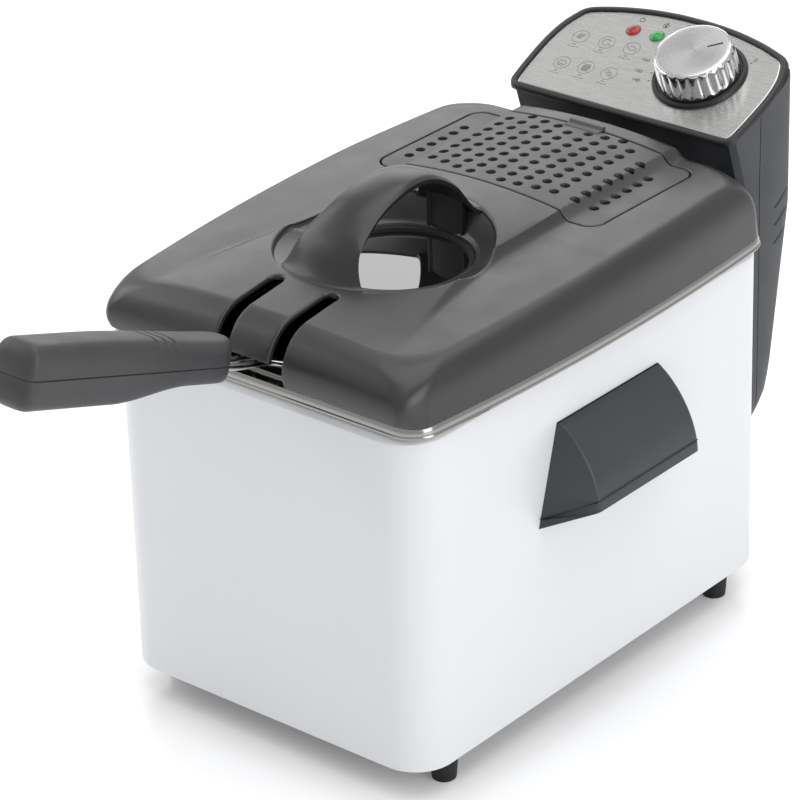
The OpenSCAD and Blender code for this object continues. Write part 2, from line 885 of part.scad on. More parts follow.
module knob_skirt() {
    color([0.8, 0.8, 0.82]) on_knob() difference() {
        translate([0, 0, 0.8]) cylinder(h = knob_h - 0.8, r1 = knob_r, r2 = knob_r - 2);
        translate([0, 0, knob_h - 2]) cylinder(h = 3, r = knob_r - 3.4);
        translate([0, 0, 0]) cylinder(h = knob_h - 8, r = knob_r - 3);
        translate([0, 0, -1]) cylinder(h = knob_h - 1, r = shaft_d / 2 + skin);
        for (i = [0:flutes - 1]) rotate([0, 0, i * 360 / flutes])
            translate([knob_r + 1.2, 0, -1]) rotate([0, -7, 0]) cylinder(h = knob_h, r = flute_r);
    }
}

module knob_cap() {
    color([0.78, 0.78, 0.8]) on_knob() difference() {
        translate([0, 0, knob_h - 2]) cylinder(h = 2.2, r = knob_r - 3.5);
        rotate([0, 0, off_angle]) translate([knob_r - 14, -0.6, knob_h - 0.5]) cube([9, 1.2, 2]);
    }
}

module knob_pointer() {
    color("black") on_knob() rotate([0, 0, off_angle])
        translate([knob_r - 13.9, -0.5, knob_h - 0.5]) cube([8.8, 1, 0.8]);
}

module thermostat_shaft() {
    color("silver") on_knob() translate([0, 0, -9.9]) cylinder(h = knob_h + 7, r = shaft_d / 2);
}

// ---- Basket ----

module basket_plan(grow) {
    translate([0, basket_y]) rounded(basket_w + 2 * grow, basket_l + 2 * grow, basket_r + grow);
}

module basket_mesh() {
    color("silver") difference() {
        translate([0, 0, basket_low]) linear_extrude(basket_top - basket_low) basket_plan(0);
        translate([0, 0, basket_low + mesh_t]) linear_extrude(basket_depth) basket_plan(-mesh_t);
    }
}

module basket_rim() {
    color("silver") translate([0, 0, basket_top]) linear_extrude(2 * rod_r) difference() {
        basket_plan(rod_r / 2);
        basket_plan(-2 * rod_r);
    }
}

module basket_bracket() {
    inner = basket_front - rod_r / 2 - bracket_t;
    color("silver") difference() {
        union() {
            translate([-bracket_w, inner, basket_top - 26]) cube([2 * bracket_w, bracket_t, 26]);
            translate([-bracket_w - 4, lip_y, rim_z + 0.1])
                cube([2 * bracket_w + 8, inner + bracket_t - lip_y, bracket_lip_t]);
            for (x = [-bracket_w, bracket_w - 10]) translate([x, inner, basket_top - 1])
                cube([10, bracket_t, rim_z + bracket_lip_t - basket_top]);
        }
        for (side = [-1, 1]) bar(wire_points(side), wire_r + running_gap);
    }
}

module drain_hooks() {
    color("silver") for (x = [-36, 36]) translate([x - 3, basket_front, basket_low + 22]) {
        translate([0, -0.8, 10]) cube([6, 0.8, 12]);
        translate([0, -4.4, 9.2]) cube([6, 4.4, 0.8]);
        translate([0, -4.4, 0]) cube([6, 0.8, 10]);
    }
}

// Course of a handle wire, from inside the grip down to the basket
function wire_points(side) = [
    [side * wire_apart, grip_y - 26, grip_z + 5.7],
    [side * wire_apart, grip_y - 1, grip_z - 2],
    [side * wire_apart, -body_l / 2 + 5, rim_z + 9.2],
    [side * hook_apart, pot_front + 1, rim_z + 5.4],
    [side * hook_apart, wire_down_y, rim_z],
    [side * hook_apart, wire_down_y, basket_top - 34]];

module handle_wires() {
    color("silver") for (side = [-1, 1]) bar(wire_points(side), wire_r);
}

// The grip's own frame: origin at its inner end, X along the grip, Z up
module on_grip() {
    translate([0, grip_y, grip_z]) rotate([0, 0, -90]) rotate([0, -grip_tilt, 0]) children();
}

// Plan of the grip: a round inner end and a blunt outer end
module grip_plan(inset) {
    w = grip_w / 2 - inset;
    polygon(concat(arc(grip_w / 2, 0, w, 90, 270, 12),
        arc(grip_l - 9, -w + 8, 8 - inset * 0.3, 270, 360, 5),
        arc(grip_l - 9, w - 8, 8 - inset * 0.3, 0, 90, 5)));
}

// Side outline of the grip above or below its parting line
module grip_side(top_in, top_out, sign) {
    polygon([for (p = [[-1, 0], [-1, top_in - 4], [3, top_in - 1], [9, top_in],
        [grip_l * 0.35, top_in + (top_out - top_in) * 0.75], [grip_l * 0.6, top_out],
        [grip_l - 8, top_out], [grip_l - 3, top_out - 2], [grip_l, top_out - 6],
        [grip_l + 0.5, 0]]) [p[0], sign * p[1]]]);
}

// Cross outline of the grip, with soft edges
module grip_cross(h, sign) {
    w = grip_w / 2;
    rotate([90, 0, 90]) linear_extrude(grip_l + 10, center = false)
        polygon([for (p = concat([[-w, 0]], arc(-w + 7, h - 7, 7, 180, 90, 4),
            arc(w - 7, h - 7, 7, 90, 0, 4), [[w, 0]])) [p[0], sign * p[1]]]);
}

module wire_holes() {
    for (side = [-1, 1]) bar([for (i = [0:2]) wire_points(side)[i]], wire_r + skin);
}

module grip_upper() {
    color([0.17, 0.17, 0.18]) difference() {
        on_grip() intersection() {
            linear_extrude(40) grip_plan(0);
            rotate([90, 0, 0]) linear_extrude(60, center = true)
                grip_side(grip_top_in, grip_top_out, 1);
            translate([-4, 0, 0]) grip_cross(grip_top_out + 0.6, 1);
        }
        wire_holes();
        on_grip() grip_screw_places() translate([0, 0, -1]) cylinder(h = 8, r = screw_r);
        on_grip() for (i = [0:2]) translate([grip_l * 0.36 + i * 5, 0, grip_top_out + 6.6])
            rotate([0, 90, 0]) cylinder(h = 1, r = 9);
    }
}

module grip_lower() {
    color([0.16, 0.16, 0.17]) difference() {
        on_grip() translate([0, 0, -grip_gap]) intersection() {
            translate([0, 0, -40]) linear_extrude(40) grip_plan(0);
            rotate([90, 0, 0]) linear_extrude(60, center = true)
                grip_side(grip_low_in, grip_low_out, -1);
            translate([-4, 0, 0]) grip_cross(grip_low_out + 0.6, -1);
        }
        wire_holes();
        on_grip() grip_screw_places() {
            translate([0, 0, -30]) cylinder(h = 40, r = screw_r + 0.2);
            translate([0, 0, -30]) cylinder(h = 25, r = screw_head_r + 0.3);
        }
    }
}

module grip_screw_places() {
    for (x = [grip_l * 0.42, grip_l * 0.82]) translate([x, 0, 0]) children();
}

module grip_screws() {
    color("silver") on_grip() grip_screw_places() translate([0, 0, -5])
        rotate([180, 0, 0]) screw(10.5);
}

// ---- Lid ----

// Side outline of the lid, front to back, lowered by t, with the given crown height
function lid_side(t, crown) =
    let (f = -rim_l / 2 - nose_out + lid_inset + t, b = rim_l / 2 - lid_inset - t, z = lid_z, h = crown - t)
    [[f + 2, z - 1], [f + 0.6, z + h * 0.15], [f, z + h * 0.32], [f + 0.8, z + h * 0.5],
        [f + 4, z + h * 0.66], [f + 9, z + h * 0.77], [f + 18, z + h * 0.87], [f + 32, z + h * 0.94],
        [f + 60, z + h * 0.99], [f + 100, z + h], [b - 60, z + h], [b - 30, z + h * 0.975],
        [b - 16, z + h * 0.94], [b - 11, z + h * 0.88], [b - 7.5, z + h * 0.74], [b - 3, z + h * 0.36],
        [b, z - 1]];

// Cross outline of the lid, lowered by t
function lid_cross(t) =
    let (w = rim_w / 2 + rim_bow - lid_inset - t, h = lid_h - t, z = lid_z)
    concat([[-w - 1, z - 1]], [for (side = [-1, 1]) each
        let (half = [[w + 0.6, z - 1], [w, z + h * 0.4], [w - 2, z + h * 0.6], [w - 6, z + h * 0.78],
            [w - 12, z + h * 0.9], [w - 21, z + h * 0.97], [w - 34, z + h]])
        side < 0 ? [for (i = [0:6]) [-half[i][0], half[i][1]]] : [for (i = [6:-1:0]) half[i]]]);

// Cross outline of the raised centre
function hump_cross(t) =
    let (z = lid_z, h = lid_h + hump_h - t, w = hump_w - t)
    [[-w - 40, z - 1], [-w - 20, z + lid_h - t - 2], [-w - 6, z + lid_h - t + 0.4], [-w, z + h - 3.2],
        [-w * 0.7, z + h - 1.4], [-w * 0.35, z + h - 0.3], [w * 0.35, z + h - 0.3], [w * 0.7, z + h - 1.4],
        [w, z + h - 3.2], [w + 6, z + lid_h - t + 0.4], [w + 20, z + lid_h - t - 2], [w + 40, z - 1]];

module side_prism(points) {
    rotate([90, 0, 90]) linear_extrude(far, center = true) polygon(points);
}

module cross_prism(points) {
    rotate([90, 0, 0]) linear_extrude(far, center = true) polygon(points);
}

module lid_form(t) {
    low = t > 0 ? lid_z - 1 : lid_z;
    intersection() {
        translate([0, 0, low]) linear_extrude(80) polygon(
            [for (p = bowed(rim_w - 2 * lid_inset - 2 * t, rim_l - 2 * lid_inset - 2 * t,
                rim_r - lid_inset - t, rim_bow)) [p[0], p[1] < 0 ? p[1] * (1 + nose_share) : p[1]]]);
        side_prism(lid_side(t, lid_h + hump_h));
        union() {
            cross_prism(lid_cross(t));
            cross_prism(hump_cross(t));
        }
    }
}

module lid_slots(grow) {
    for (side = [-1, 1]) translate([side * (tongue_w + slot_w / 2), 0, lid_z - 2]) {
        translate([0, slot_back, 0]) cylinder(h = 60, r = slot_w / 2 + grow);
        translate([-slot_w / 2 - grow, -rim_l, 0]) cube([slot_w + 2 * grow, rim_l + slot_back, 60]);
    }
}

module lid_shell() {
    wide = tongue_w + slot_w;
    color([0.3, 0.3, 0.31]) {
        difference() {
            lid_form(0);
            lid_form(lid_t);
            translate([0, bowl_y, lid_z - 2]) cylinder(h = 80, r = recess_r);
            translate([0, 0, lid_z - 2]) linear_extrude(80) translate([0, filter_y])
                rounded(filter_w, filter_l, filter_r);
            lid_slots(0);
            translate([-wide, -rim_l, lid_z - 2])
                cube([2 * wide, rim_l + slot_back - 6, tongue_z + 2 - lid_z]);
            translate([-plate_w - 2, rim_l / 2 - 20, lid_z - 2])
                cube([2 * plate_w + 4, 30, riser_z + tube_r + 3 - lid_z]);
        }
        filter_well();
    }
}

module filter_well() {
    low = lid_top - well_depth;
    intersection() {
        lid_form(0.4);
        difference() {
            translate([0, filter_y, low]) linear_extrude(60)
                rounded(filter_w + 2 * well_wall, filter_l + 2 * well_wall, filter_r + well_wall);
            translate([0, filter_y, low + well_wall]) linear_extrude(80)
                rounded(filter_w, filter_l, filter_r);
            for (i = [-4:4]) translate([i * 14 - 4.5, filter_y - filter_l / 2 + 12, low - 1])
                cube([9, filter_l - 24, 5]);
        }
    }
}

// Room inside the bowl under the lid grip, with the space above it
module inside_bowl() {
    wall_r = recess_r - 0.3 - bowl_t - running_gap;
    translate([0, bowl_y, 0]) rotate_extrude() polygon([[0, bowl_z + 0.6],
        [window_r - 0.4 - running_gap, bowl_z + 0.6], [wall_r, lid_top - 2], [wall_r, far], [0, far]]);
}

module recess_bowl() {
    color([0.27, 0.27, 0.28]) intersection() {
        lid_form(0.2);
        translate([0, bowl_y, 0]) rotate_extrude() polygon([
            [window_r + 1.6, window_z - 2], [window_r + 1.6, bowl_z],
            [recess_r - 0.3, lid_top - 2.5], [recess_r - 0.3, hump_top + 2],
            [recess_r - 0.3 - bowl_t, hump_top + 2], [recess_r - 0.3 - bowl_t, lid_top - 2],
            [window_r - 0.4, bowl_z + 0.6], [window_r - 0.4, window_z + window_t + 0.2],
            [window_r - 3.4, window_z + window_t + 0.2], [window_r - 3.4, window_z + window_t + 1.4],
            [window_r - 4.4, window_z + window_t + 1.4], [window_r - 4.4, window_z + window_t + 0.1],
            [window_r - 4.2, window_z + window_t], [window_r, window_z + window_t], [window_r, window_z - 2]]);
    }
}

module window_glass() {
    color([0.3, 0.3, 0.3, 0.5]) translate([0, bowl_y, window_z + 0.1])
        cylinder(h = window_t - 0.2, r = window_r - 0.3);
}

module window_seal() {
    color("black") translate([0, bowl_y, window_z - 2]) difference() {
        cylinder(h = 2, r = window_r - 0.1);
        translate([0, 0, -1]) cylinder(h = 4, r = window_r - 6);
    }
}

// Height of the lid grip above the raised centre, along Y
function strap_z(y) =
    let (s = min(abs(y - strap_mid) / strap_half, 1))
    hump_top - 6 + (strap_rise + 4) * pow(1 - pow(s, 2.2), 0.8);
function strap_half_w(y) =
    let (s = (y - strap_front) / (strap_back - strap_front))
    strap_w + 15 * pow(max(1 - 3 * s, 0), 2) + 1.5 * (1 - s);

module lid_grip() {
    ys = [for (i = [0:24]) strap_front + (strap_back - strap_front) * i / 24];
    n = len(ys);
    color([0.26, 0.26, 0.28]) {
        difference() {
            intersection() {
                linear_extrude(far) polygon(concat(
                    [for (y = ys) [strap_half_w(y), y]],
                    [for (i = [n - 1:-1:0]) [-strap_half_w(ys[i]), ys[i]]]));
                side_prism(concat(
                    [for (y = ys) [y, strap_z(y)]],
                    [for (i = [n - 2:-1:1])
                        [strap_mid + (ys[i] - strap_mid) * 0.955, strap_z(ys[i]) - strap_t]]));
            }
            lid_form(0);
        }
        intersection() {
            translate([-strap_leg_w, bowl_y + window_r + 1, bowl_z + 4])
                cube([2 * strap_leg_w, recess_r - window_r - 1, far]);
            side_prism(concat([for (y = ys) [y, strap_z(y) - 1]],
                [[strap_back, bowl_z], [strap_front, bowl_z]]));
            inside_bowl();
        }
    }
}

module lid_gasket() {
    color([0.1, 0.1, 0.1]) difference() {
        bowed_slab(lid_inset + lid_t + 1, rim_z + 0.1, lid_z + 3);
        bowed_slab(lid_inset + lid_t + 4, rim_z - 1, lid_z + 4);
        translate([-plate_w - 4, 0, 0]) cube([2 * plate_w + 8, far, far]);
        translate([-34, -far, 0]) cube([68, far, far]);
    }
}

// ---- Filter ----

module filter_frame() {
    low = lid_top - well_depth + well_wall;
    color([0.12, 0.12, 0.12]) translate([0, filter_y, low + 0.2]) difference() {
        linear_extrude(8) rounded(filter_w - 2 * slide_gap, filter_l - 2 * slide_gap, filter_r - slide_gap);
        translate([0, 0, -1]) linear_extrude(10) rounded(filter_w - 12, filter_l - 12, filter_r - 4);
    }
}

module filter_mesh() {
    low = lid_top - well_depth + well_wall;
    color("silver") translate([0, filter_y, low + 2]) linear_extrude(4)
        rounded(filter_w - 12.1, filter_l - 12.1, filter_r - 4);
}

module steam_holes() {
    for (j = [0:steam_rows - 1], i = [0:steam_cols - 1 - j % 2])
        translate([(i - (steam_cols - 1 - j % 2) / 2) * steam_pitch_x,
            filter_y - 1.5 + (j - (steam_rows - 1) / 2) * steam_pitch_y, lid_z])
            cylinder(h = 80, r = steam_d / 2);
}

module filter_cover() {
    color([0.3, 0.3, 0.31]) difference() {
        intersection() {
            difference() {
                lid_form(0);
                lid_form(cover_t);
            }
            translate([0, filter_y, lid_z]) linear_extrude(80) rounded(filter_w - 2 * filter_gap,
                filter_l - 2 * filter_gap, filter_r - filter_gap);
        }
        steam_holes();
        translate([-latch_w / 2 - 0.6, filter_y + filter_l / 2 - 9, lid_z]) cube([latch_w + 1.2, 20, 80]);
    }
}

module filter_latch() {
    y = filter_y + filter_l / 2;
    color([0.3, 0.3, 0.31]) translate([-latch_w / 2, y - 5.6, hump_top - 8]) {
        cube([latch_w, 2, 8.6]);
        translate([0, 0, 6.6]) cube([latch_w, 4.4, 2]);
    }
}

// ---- Everything in its place ----

module placed() {
    translate([0, frame_y, 0]) children();
}

placed() outer_shell();
placed() base_plate();
placed() feet();
placed() foot_screws();
placed() base_screws();
placed() carry_handle_right();
placed() carry_handle_left();
placed() carry_trim_right();
placed() carry_trim_left();
placed() carry_screws();
placed() head_rail();
placed() rail_screws();
placed() oil_pot();
placed() head_front();
placed() head_rear();
placed() panel_bezel();
placed() fascia_plate();
placed() knob_ring();
placed() lamp_red();
placed() lamp_green();
placed() lamp_holders();
placed() thermostat();
placed() capillary_tube();
placed() sensor_bulb();
placed() sensor_clamp();
placed() thermal_cutout();
placed() interlock_switch();
placed() terminal_block();
placed() inner_leads();
placed() element_plate();
placed() element_nuts();
placed() heating_element();
placed() cord_gland();
placed() head_screws();
placed() reset_button();
placed() reset_spring();
placed() knob_skirt();
placed() knob_cap();
placed() knob_pointer();
placed() thermostat_shaft();
placed() basket_rim();
placed() basket_mesh();
placed() basket_bracket();
placed() drain_hooks();
placed() handle_wires();
placed() grip_upper();
placed() grip_lower();
placed() grip_screws();
placed() lid_shell();
placed() recess_bowl();
placed() lid_grip();
placed() window_glass();
placed() window_seal();
placed() lid_gasket();
placed() filter_frame();
placed() filter_mesh();
placed() filter_cover();
placed() filter_latch();
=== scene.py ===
"""Looks of a household deep fryer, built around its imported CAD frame.

Lengths are millimetres in the fryer's own axes: x to the right, y from the middle of the body
towards the control head, z up from the floor. place() turns them into the frame's metres.
"""
import math

import bmesh
import bpy
import numpy as np
from mathutils import Matrix, Vector


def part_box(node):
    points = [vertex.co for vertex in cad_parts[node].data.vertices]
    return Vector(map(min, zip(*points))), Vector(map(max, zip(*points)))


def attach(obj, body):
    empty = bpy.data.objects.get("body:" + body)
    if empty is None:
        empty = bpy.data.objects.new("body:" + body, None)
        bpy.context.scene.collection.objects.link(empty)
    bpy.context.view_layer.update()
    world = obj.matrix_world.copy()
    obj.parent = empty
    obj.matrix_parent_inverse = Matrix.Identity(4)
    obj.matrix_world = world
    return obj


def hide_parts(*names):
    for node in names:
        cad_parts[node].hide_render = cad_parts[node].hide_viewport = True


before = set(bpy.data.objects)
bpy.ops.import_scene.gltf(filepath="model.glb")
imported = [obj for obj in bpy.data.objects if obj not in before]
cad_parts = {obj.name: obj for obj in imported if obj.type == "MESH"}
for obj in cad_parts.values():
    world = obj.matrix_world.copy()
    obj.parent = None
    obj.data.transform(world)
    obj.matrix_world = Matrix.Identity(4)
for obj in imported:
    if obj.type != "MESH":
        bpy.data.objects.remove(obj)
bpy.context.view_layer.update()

MM = 0.001
TAU = 2 * math.pi

shell_low, shell_high = (np.array(c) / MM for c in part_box("outer_shell"))
body_shift = (shell_low[1] + shell_high[1]) / 2


def node_box(node):
    """Lowest and highest corner of a CAD node, in the fryer's own axes."""
    shift = np.array([0, body_shift, 0])
    return tuple(np.array(c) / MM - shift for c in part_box(node))


# Driving sizes, read from the frame
BODY_W = shell_high[0] - shell_low[0]
BODY_L = shell_high[1] - shell_low[1]
BASE_Z = shell_low[2]
SEAT_Z = shell_high[2]
RIM_Z = node_box("oil_pot")[1][2]
LID_Z = node_box("lid_shell")[0][2]
CORNER_R = 22
RIM_W = BODY_W + 0.4
RIM_L = BODY_L - 2.4
RIM_BOW = 7.4
RIM_R = CORNER_R - 8

# ---------------------------------------------------------------- mesh tools

SHARP = 38  # degrees between faces above which an edge is shaded hard


def place(points):
    """Points in the fryer's axes, as metres in the frame."""
    p = np.asarray(points, float).copy()
    p[:, 1] += body_shift
    return p * MM


def shade_mesh(mesh, sharp=SHARP):
    mesh.shade_smooth()
    mesh.set_sharp_from_angle(angle=math.radians(sharp))


def mesh_object(name, points, faces):
    """An object in the scene, welded, without empty faces, its normals outwards."""
    mesh = bpy.data.meshes.new(name)
    mesh.from_pydata([tuple(v) for v in place(points)], [], [tuple(int(i) for i in f) for f in faces])
    bm = bmesh.new()
    bm.from_mesh(mesh)
    bmesh.ops.remove_doubles(bm, verts=bm.verts, dist=2e-6)
    bmesh.ops.dissolve_degenerate(bm, edges=bm.edges, dist=1e-7)
    bmesh.ops.recalc_face_normals(bm, faces=bm.faces)
    bm.to_mesh(mesh)
    bm.free()
    obj = bpy.data.objects.new(name, mesh)
    bpy.context.scene.collection.objects.link(obj)
    return obj


def build(name, shape, mat, body, replaced=(), sharp=SHARP):
    """A smooth-shaded piece, from its points and faces, that rides on a CAD body."""
    obj = mesh_object(name, *shape)
    obj.data.materials.append(mat)
    shade_mesh(obj.data, sharp)
    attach(obj, body)
    if replaced:
        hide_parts(*replaced)
    return obj


def loft(rings, caps=(True, True)):
    """Points and faces through closed rings that all have the same number of points."""
    n, m = len(rings[0]), len(rings)
    points = np.concatenate([np.asarray(r, float) for r in rings])
    faces = [
        (k * n + i, k * n + (i + 1) % n, (k + 1) * n + (i + 1) % n, (k + 1) * n + i)
        for k in range(m - 1)
        for i in range(n)
    ]
    if caps[0]:
        faces.append(tuple(reversed(range(n))))
    if caps[1]:
        faces.append(tuple(range((m - 1) * n, m * n)))
    return points, faces


def skin(rings):
    """A loft without end caps."""
    return loft(rings, caps=(False, False))


def joined(*shapes):
    """Several shapes as one."""
    points, faces, start = [], [], 0
    for p, f in shapes:
        points.append(np.asarray(p, float))
        faces += [tuple(i + start for i in face) for face in f]
        start += len(p)
    return np.concatenate(points), faces


def moved(shape, *offset):
    points, faces = shape
    return points + list(offset), faces


def lathe(profile, segments, ring=False):
    """Shape of revolution about z through (radius, z) places; a ring's profile is a closed loop."""
    angles = np.arange(segments) * TAU / segments
    if ring:
        profile = list(profile) + [profile[0]]
    rings = [np.stack([r * np.cos(angles), r * np.sin(angles), np.full(segments, z)], 1)
             for r, z in profile]
    return skin(rings) if ring else loft(rings, caps=(profile[0][0] > 0, profile[-1][0] > 0))


def tube(path, radius, sides, closed=False):
    """Round bar along a path, turned as little as possible between points."""
    path = np.asarray(path, float)
    if closed:
        tangents = np.roll(path, -1, 0) - np.roll(path, 1, 0)
    else:
        tangents = np.gradient(path, axis=0)
    tangents /= np.linalg.norm(tangents, axis=1)[:, None]
    side = np.cross(tangents[0], [0.3, 0.2, 1.0] if abs(tangents[0][2]) < 0.9 else [1.0, 0, 0])
    a = np.arange(sides) * TAU / sides
    rings = []
    for i, tangent in enumerate(tangents):
        side = side - tangent * side.dot(tangent)
        side /= np.linalg.norm(side)
        up = np.cross(tangent, side)
        r = radius[i] if np.ndim(radius) else radius
        rings.append(path[i] + r * (np.cos(a)[:, None] * side + np.sin(a)[:, None] * up))
    return skin(rings + rings[:1]) if closed else loft(rings)


def smooth_path(points, step, closed=False):
    """Catmull-Rom curve through the points, sampled about every step millimetres."""
    p = np.asarray(points, float)
    n = len(p)
    out = []
    for i in range(n if closed else n - 1):
        if closed:
            a, b, c, d = (p[(i + k) % n] for k in (-1, 0, 1, 2))
        else:
            a, b, c, d = (p[min(max(i + k, 0), n - 1)] for k in (-1, 0, 1, 2))
        count = max(2, int(np.linalg.norm(c - b) / step))
        for t in np.arange(count) / count:
            out.append(0.5 * (2 * b + (c - a) * t + (2 * a - 5 * b + 4 * c - d) * t**2
                              + (3 * b - a - 3 * c + d) * t**3))
    if not closed:
        out.append(p[-1])
    return np.array(out)


def ease(t):
    t = np.clip(t, 0, 1)
    return t * t * (3 - 2 * t)


def outward(p):
    """Outward normals of a closed plan that runs counter-clockwise."""
    t = np.roll(p, -1, 0) - np.roll(p, 1, 0)
    t /= np.linalg.norm(t, axis=1)[:, None]
    return np.stack([t[:, 1], -t[:, 0]], 1)


def rounded_rect(w, l, r, n):
    """n points, evenly spaced along a rectangle with round corners, and their outward normals."""
    quarter = math.pi / 2 * r
    runs = [(l / 2 - r, 0), (quarter, 1), (w - 2 * r, 0), (quarter, 1),
            (l - 2 * r, 0), (quarter, 1), (w - 2 * r, 0), (quarter, 1), (l / 2 - r, 0)]
    total = sum(length for length, _ in runs)
    points, normals = [], []
    for s in np.arange(n) * total / n:
        at, angle = np.array([w / 2, 0.0]), 0.0
        for length, turning in runs:
            part = min(s, length)
            if turning:
                centre = at - r * np.array([math.cos(angle), math.sin(angle)])
                angle += part / r
                at = centre + r * np.array([math.cos(angle), math.sin(angle)])
            else:
                at = at + part * np.array([-math.sin(angle), math.cos(angle)])
            s -= part
            if s <= 1e-9:
                break
        points.append(at)
        normals.append([math.cos(angle), math.sin(angle)])
    return np.array(points), np.array(normals)


def circle(cx, cy, r, n):
    a = np.arange(n) * TAU / n
    normal = np.stack([np.cos(a), np.sin(a)], 1)
    return normal * r + [cx, cy], normal


def at_z(plan, z):
    return np.column_stack([plan, np.broadcast_to(z, len(plan))])


def box_shape(low, high):
    (x0, y0, z0), (x1, y1, z1) = low, high
    points = [(x0, y0, z0), (x1, y0, z0), (x1, y1, z0), (x0, y1, z0),
              (x0, y0, z1), (x1, y0, z1), (x1, y1, z1), (x0, y1, z1)]
    faces = [(0, 3, 2, 1), (4, 5, 6, 7), (0, 1, 5, 4), (1, 2, 6, 5), (2, 3, 7, 6), (3, 0, 4, 7)]
    return np.array(points, float), faces


def bake(obj):
    """Makes a piece's modifiers part of its mesh."""
    bpy.context.view_layer.update()
    graph = bpy.context.evaluated_depsgraph_get()
    mesh = bpy.data.meshes.new_from_object(obj.evaluated_get(graph))
    obj.modifiers.clear()
    old = obj.data
    obj.data = mesh
    bpy.data.meshes.remove(old)
    shade_mesh(mesh)


def cut(obj, shape, operation="DIFFERENCE"):
    """Cuts a closed shape out of a piece; INTERSECT keeps only what lies inside the shape."""
    tool = mesh_object("tool", *shape)
    mod = obj.modifiers.new("tool", "BOOLEAN")
    mod.operation = operation
    mod.solver = "MANIFOLD"
    mod.object = tool
    bake(obj)
    bpy.data.objects.remove(tool)


def soften(obj, width):
    """Rounds a piece's hard edges."""
    mod = obj.modifiers.new("soften", "BEVEL")
    mod.width = width * MM
    mod.segments = 2
    mod.limit_method = "ANGLE"
    mod.angle_limit = math.radians(SHARP)
    mod.use_clamp_overlap = True
    bake(obj)


# ---------------------------------------------------------------- materials


class Nodes:
    """A material under construction: its principled shader and small helpers for its nodes."""

    def __init__(self, name, **values):
        self.mat = bpy.data.materials.new(name)
        self.mat.use_nodes = True
        self.tree = self.mat.node_tree
        self.shader = self.tree.nodes["Principled BSDF"]
        for key, value in values.items():
            self.shader.inputs[key.replace("_", " ")].default_value = value
        self.where = self.node("TexCoord").outputs["Object"]

    def node(self, kind, **values):
        node = self.tree.nodes.new("ShaderNode" + kind)
        for key, value in values.items():
            node.inputs[key.replace("_", " ")].default_value = value
        return node

    def link(self, a, b):
        self.tree.links.new(a, b)

    def noise(self, scale, detail=3, stretch=None, rough=0.5):
        node = self.node("TexNoise", Scale=scale, Detail=detail, Roughness=rough)
        source = self.where
        if stretch:
            mapping = self.node("Mapping", Scale=stretch)
            self.link(self.where, mapping.inputs["Vector"])
            source = mapping.outputs["Vector"]
        self.link(source, node.inputs["Vector"])
        return node.outputs["Fac"]

    def ramp(self, fac, low, high, start=0.35, end=0.65):
        node = self.node("MapRange", From_Min=start, From_Max=end, To_Min=low, To_Max=high)
        self.link(fac, node.inputs["Value"])
        return node.outputs["Result"]

    def blend(self, fac, a, b):
        node = self.tree.nodes.new("ShaderNodeMix")
        node.data_type = "RGBA"
        node.inputs["A"].default_value = (*a, 1)
        node.inputs["B"].default_value = (*b, 1)
        self.link(fac, node.inputs["Factor"])
        return node.outputs["Result"]

    def tint(self, fac, rgb, low, high):
        """The colour, scaled from low to high by a factor."""
        return self.blend(fac, shade(rgb, low), shade(rgb, high))

    def bump(self, height, strength, distance, after=None):
        node = self.node("Bump", Strength=strength, Distance=distance)
        self.link(height, node.inputs["Height"])
        if after:
            self.link(after, node.inputs["Normal"])
        return node.outputs["Normal"]

    def use(self, color, rough=None, normal=None):
        for name, source in (("Base Color", color), ("Roughness", rough), ("Normal", normal)):
            if source:
                self.link(source, self.shader.inputs[name])
        return self.mat


def shade(rgb, factor):
    return tuple(min(c * factor, 1) for c in rgb)


def plastic(name, rgb, rough, grain=1400, depth=0.25, coat=0.0):
    """Moulded plastic: a fine spark-eroded grain, faint flow clouds and worn-in gloss changes."""
    m = Nodes(name, Specular_IOR_Level=0.5, Coat_Weight=coat, Coat_Roughness=0.25)
    color = m.tint(m.ramp(m.noise(28, 4), 0, 1), rgb, 0.94, 1.06)
    gloss = m.ramp(m.noise(60, 3), rough - 0.035, rough + 0.035)
    return m.use(color, gloss, m.bump(m.noise(grain, 3, rough=0.6), depth, 0.00006))


def enamel(name, rgb):
    """Stove enamel on sheet steel: hardly visible orange peel and a soft sheen."""
    m = Nodes(name, Specular_IOR_Level=0.5, Coat_Weight=0.25, Coat_Roughness=0.18)
    color = m.tint(m.ramp(m.noise(9, 3), 0, 1), rgb, 0.985, 1.0)
    normal = m.bump(m.noise(1500, 2), 0.10, 0.00004, m.bump(m.noise(260, 2), 0.12, 0.00015))
    return m.use(color, m.ramp(m.noise(40, 3), 0.30, 0.38), normal)


def steel(name, rgb, rough, stretch=(1, 1, 1), depth=0.2, scale=900, aniso=0.4):
    """Metal with brush lines along the axis that the stretch leaves long."""
    m = Nodes(name, Metallic=1.0, Anisotropic=aniso)
    lines = m.noise(scale, 4, stretch)
    color = m.tint(m.ramp(lines, 0, 1, 0.25, 0.75), rgb, 0.9, 1.06)
    gloss = m.ramp(lines, rough - 0.06, rough + 0.08, 0.3, 0.7)
    smudges = m.bump(m.noise(30, 2), 0.03, 0.0004)
    return m.use(color, gloss, m.bump(lines, depth, 0.00003, smudges))


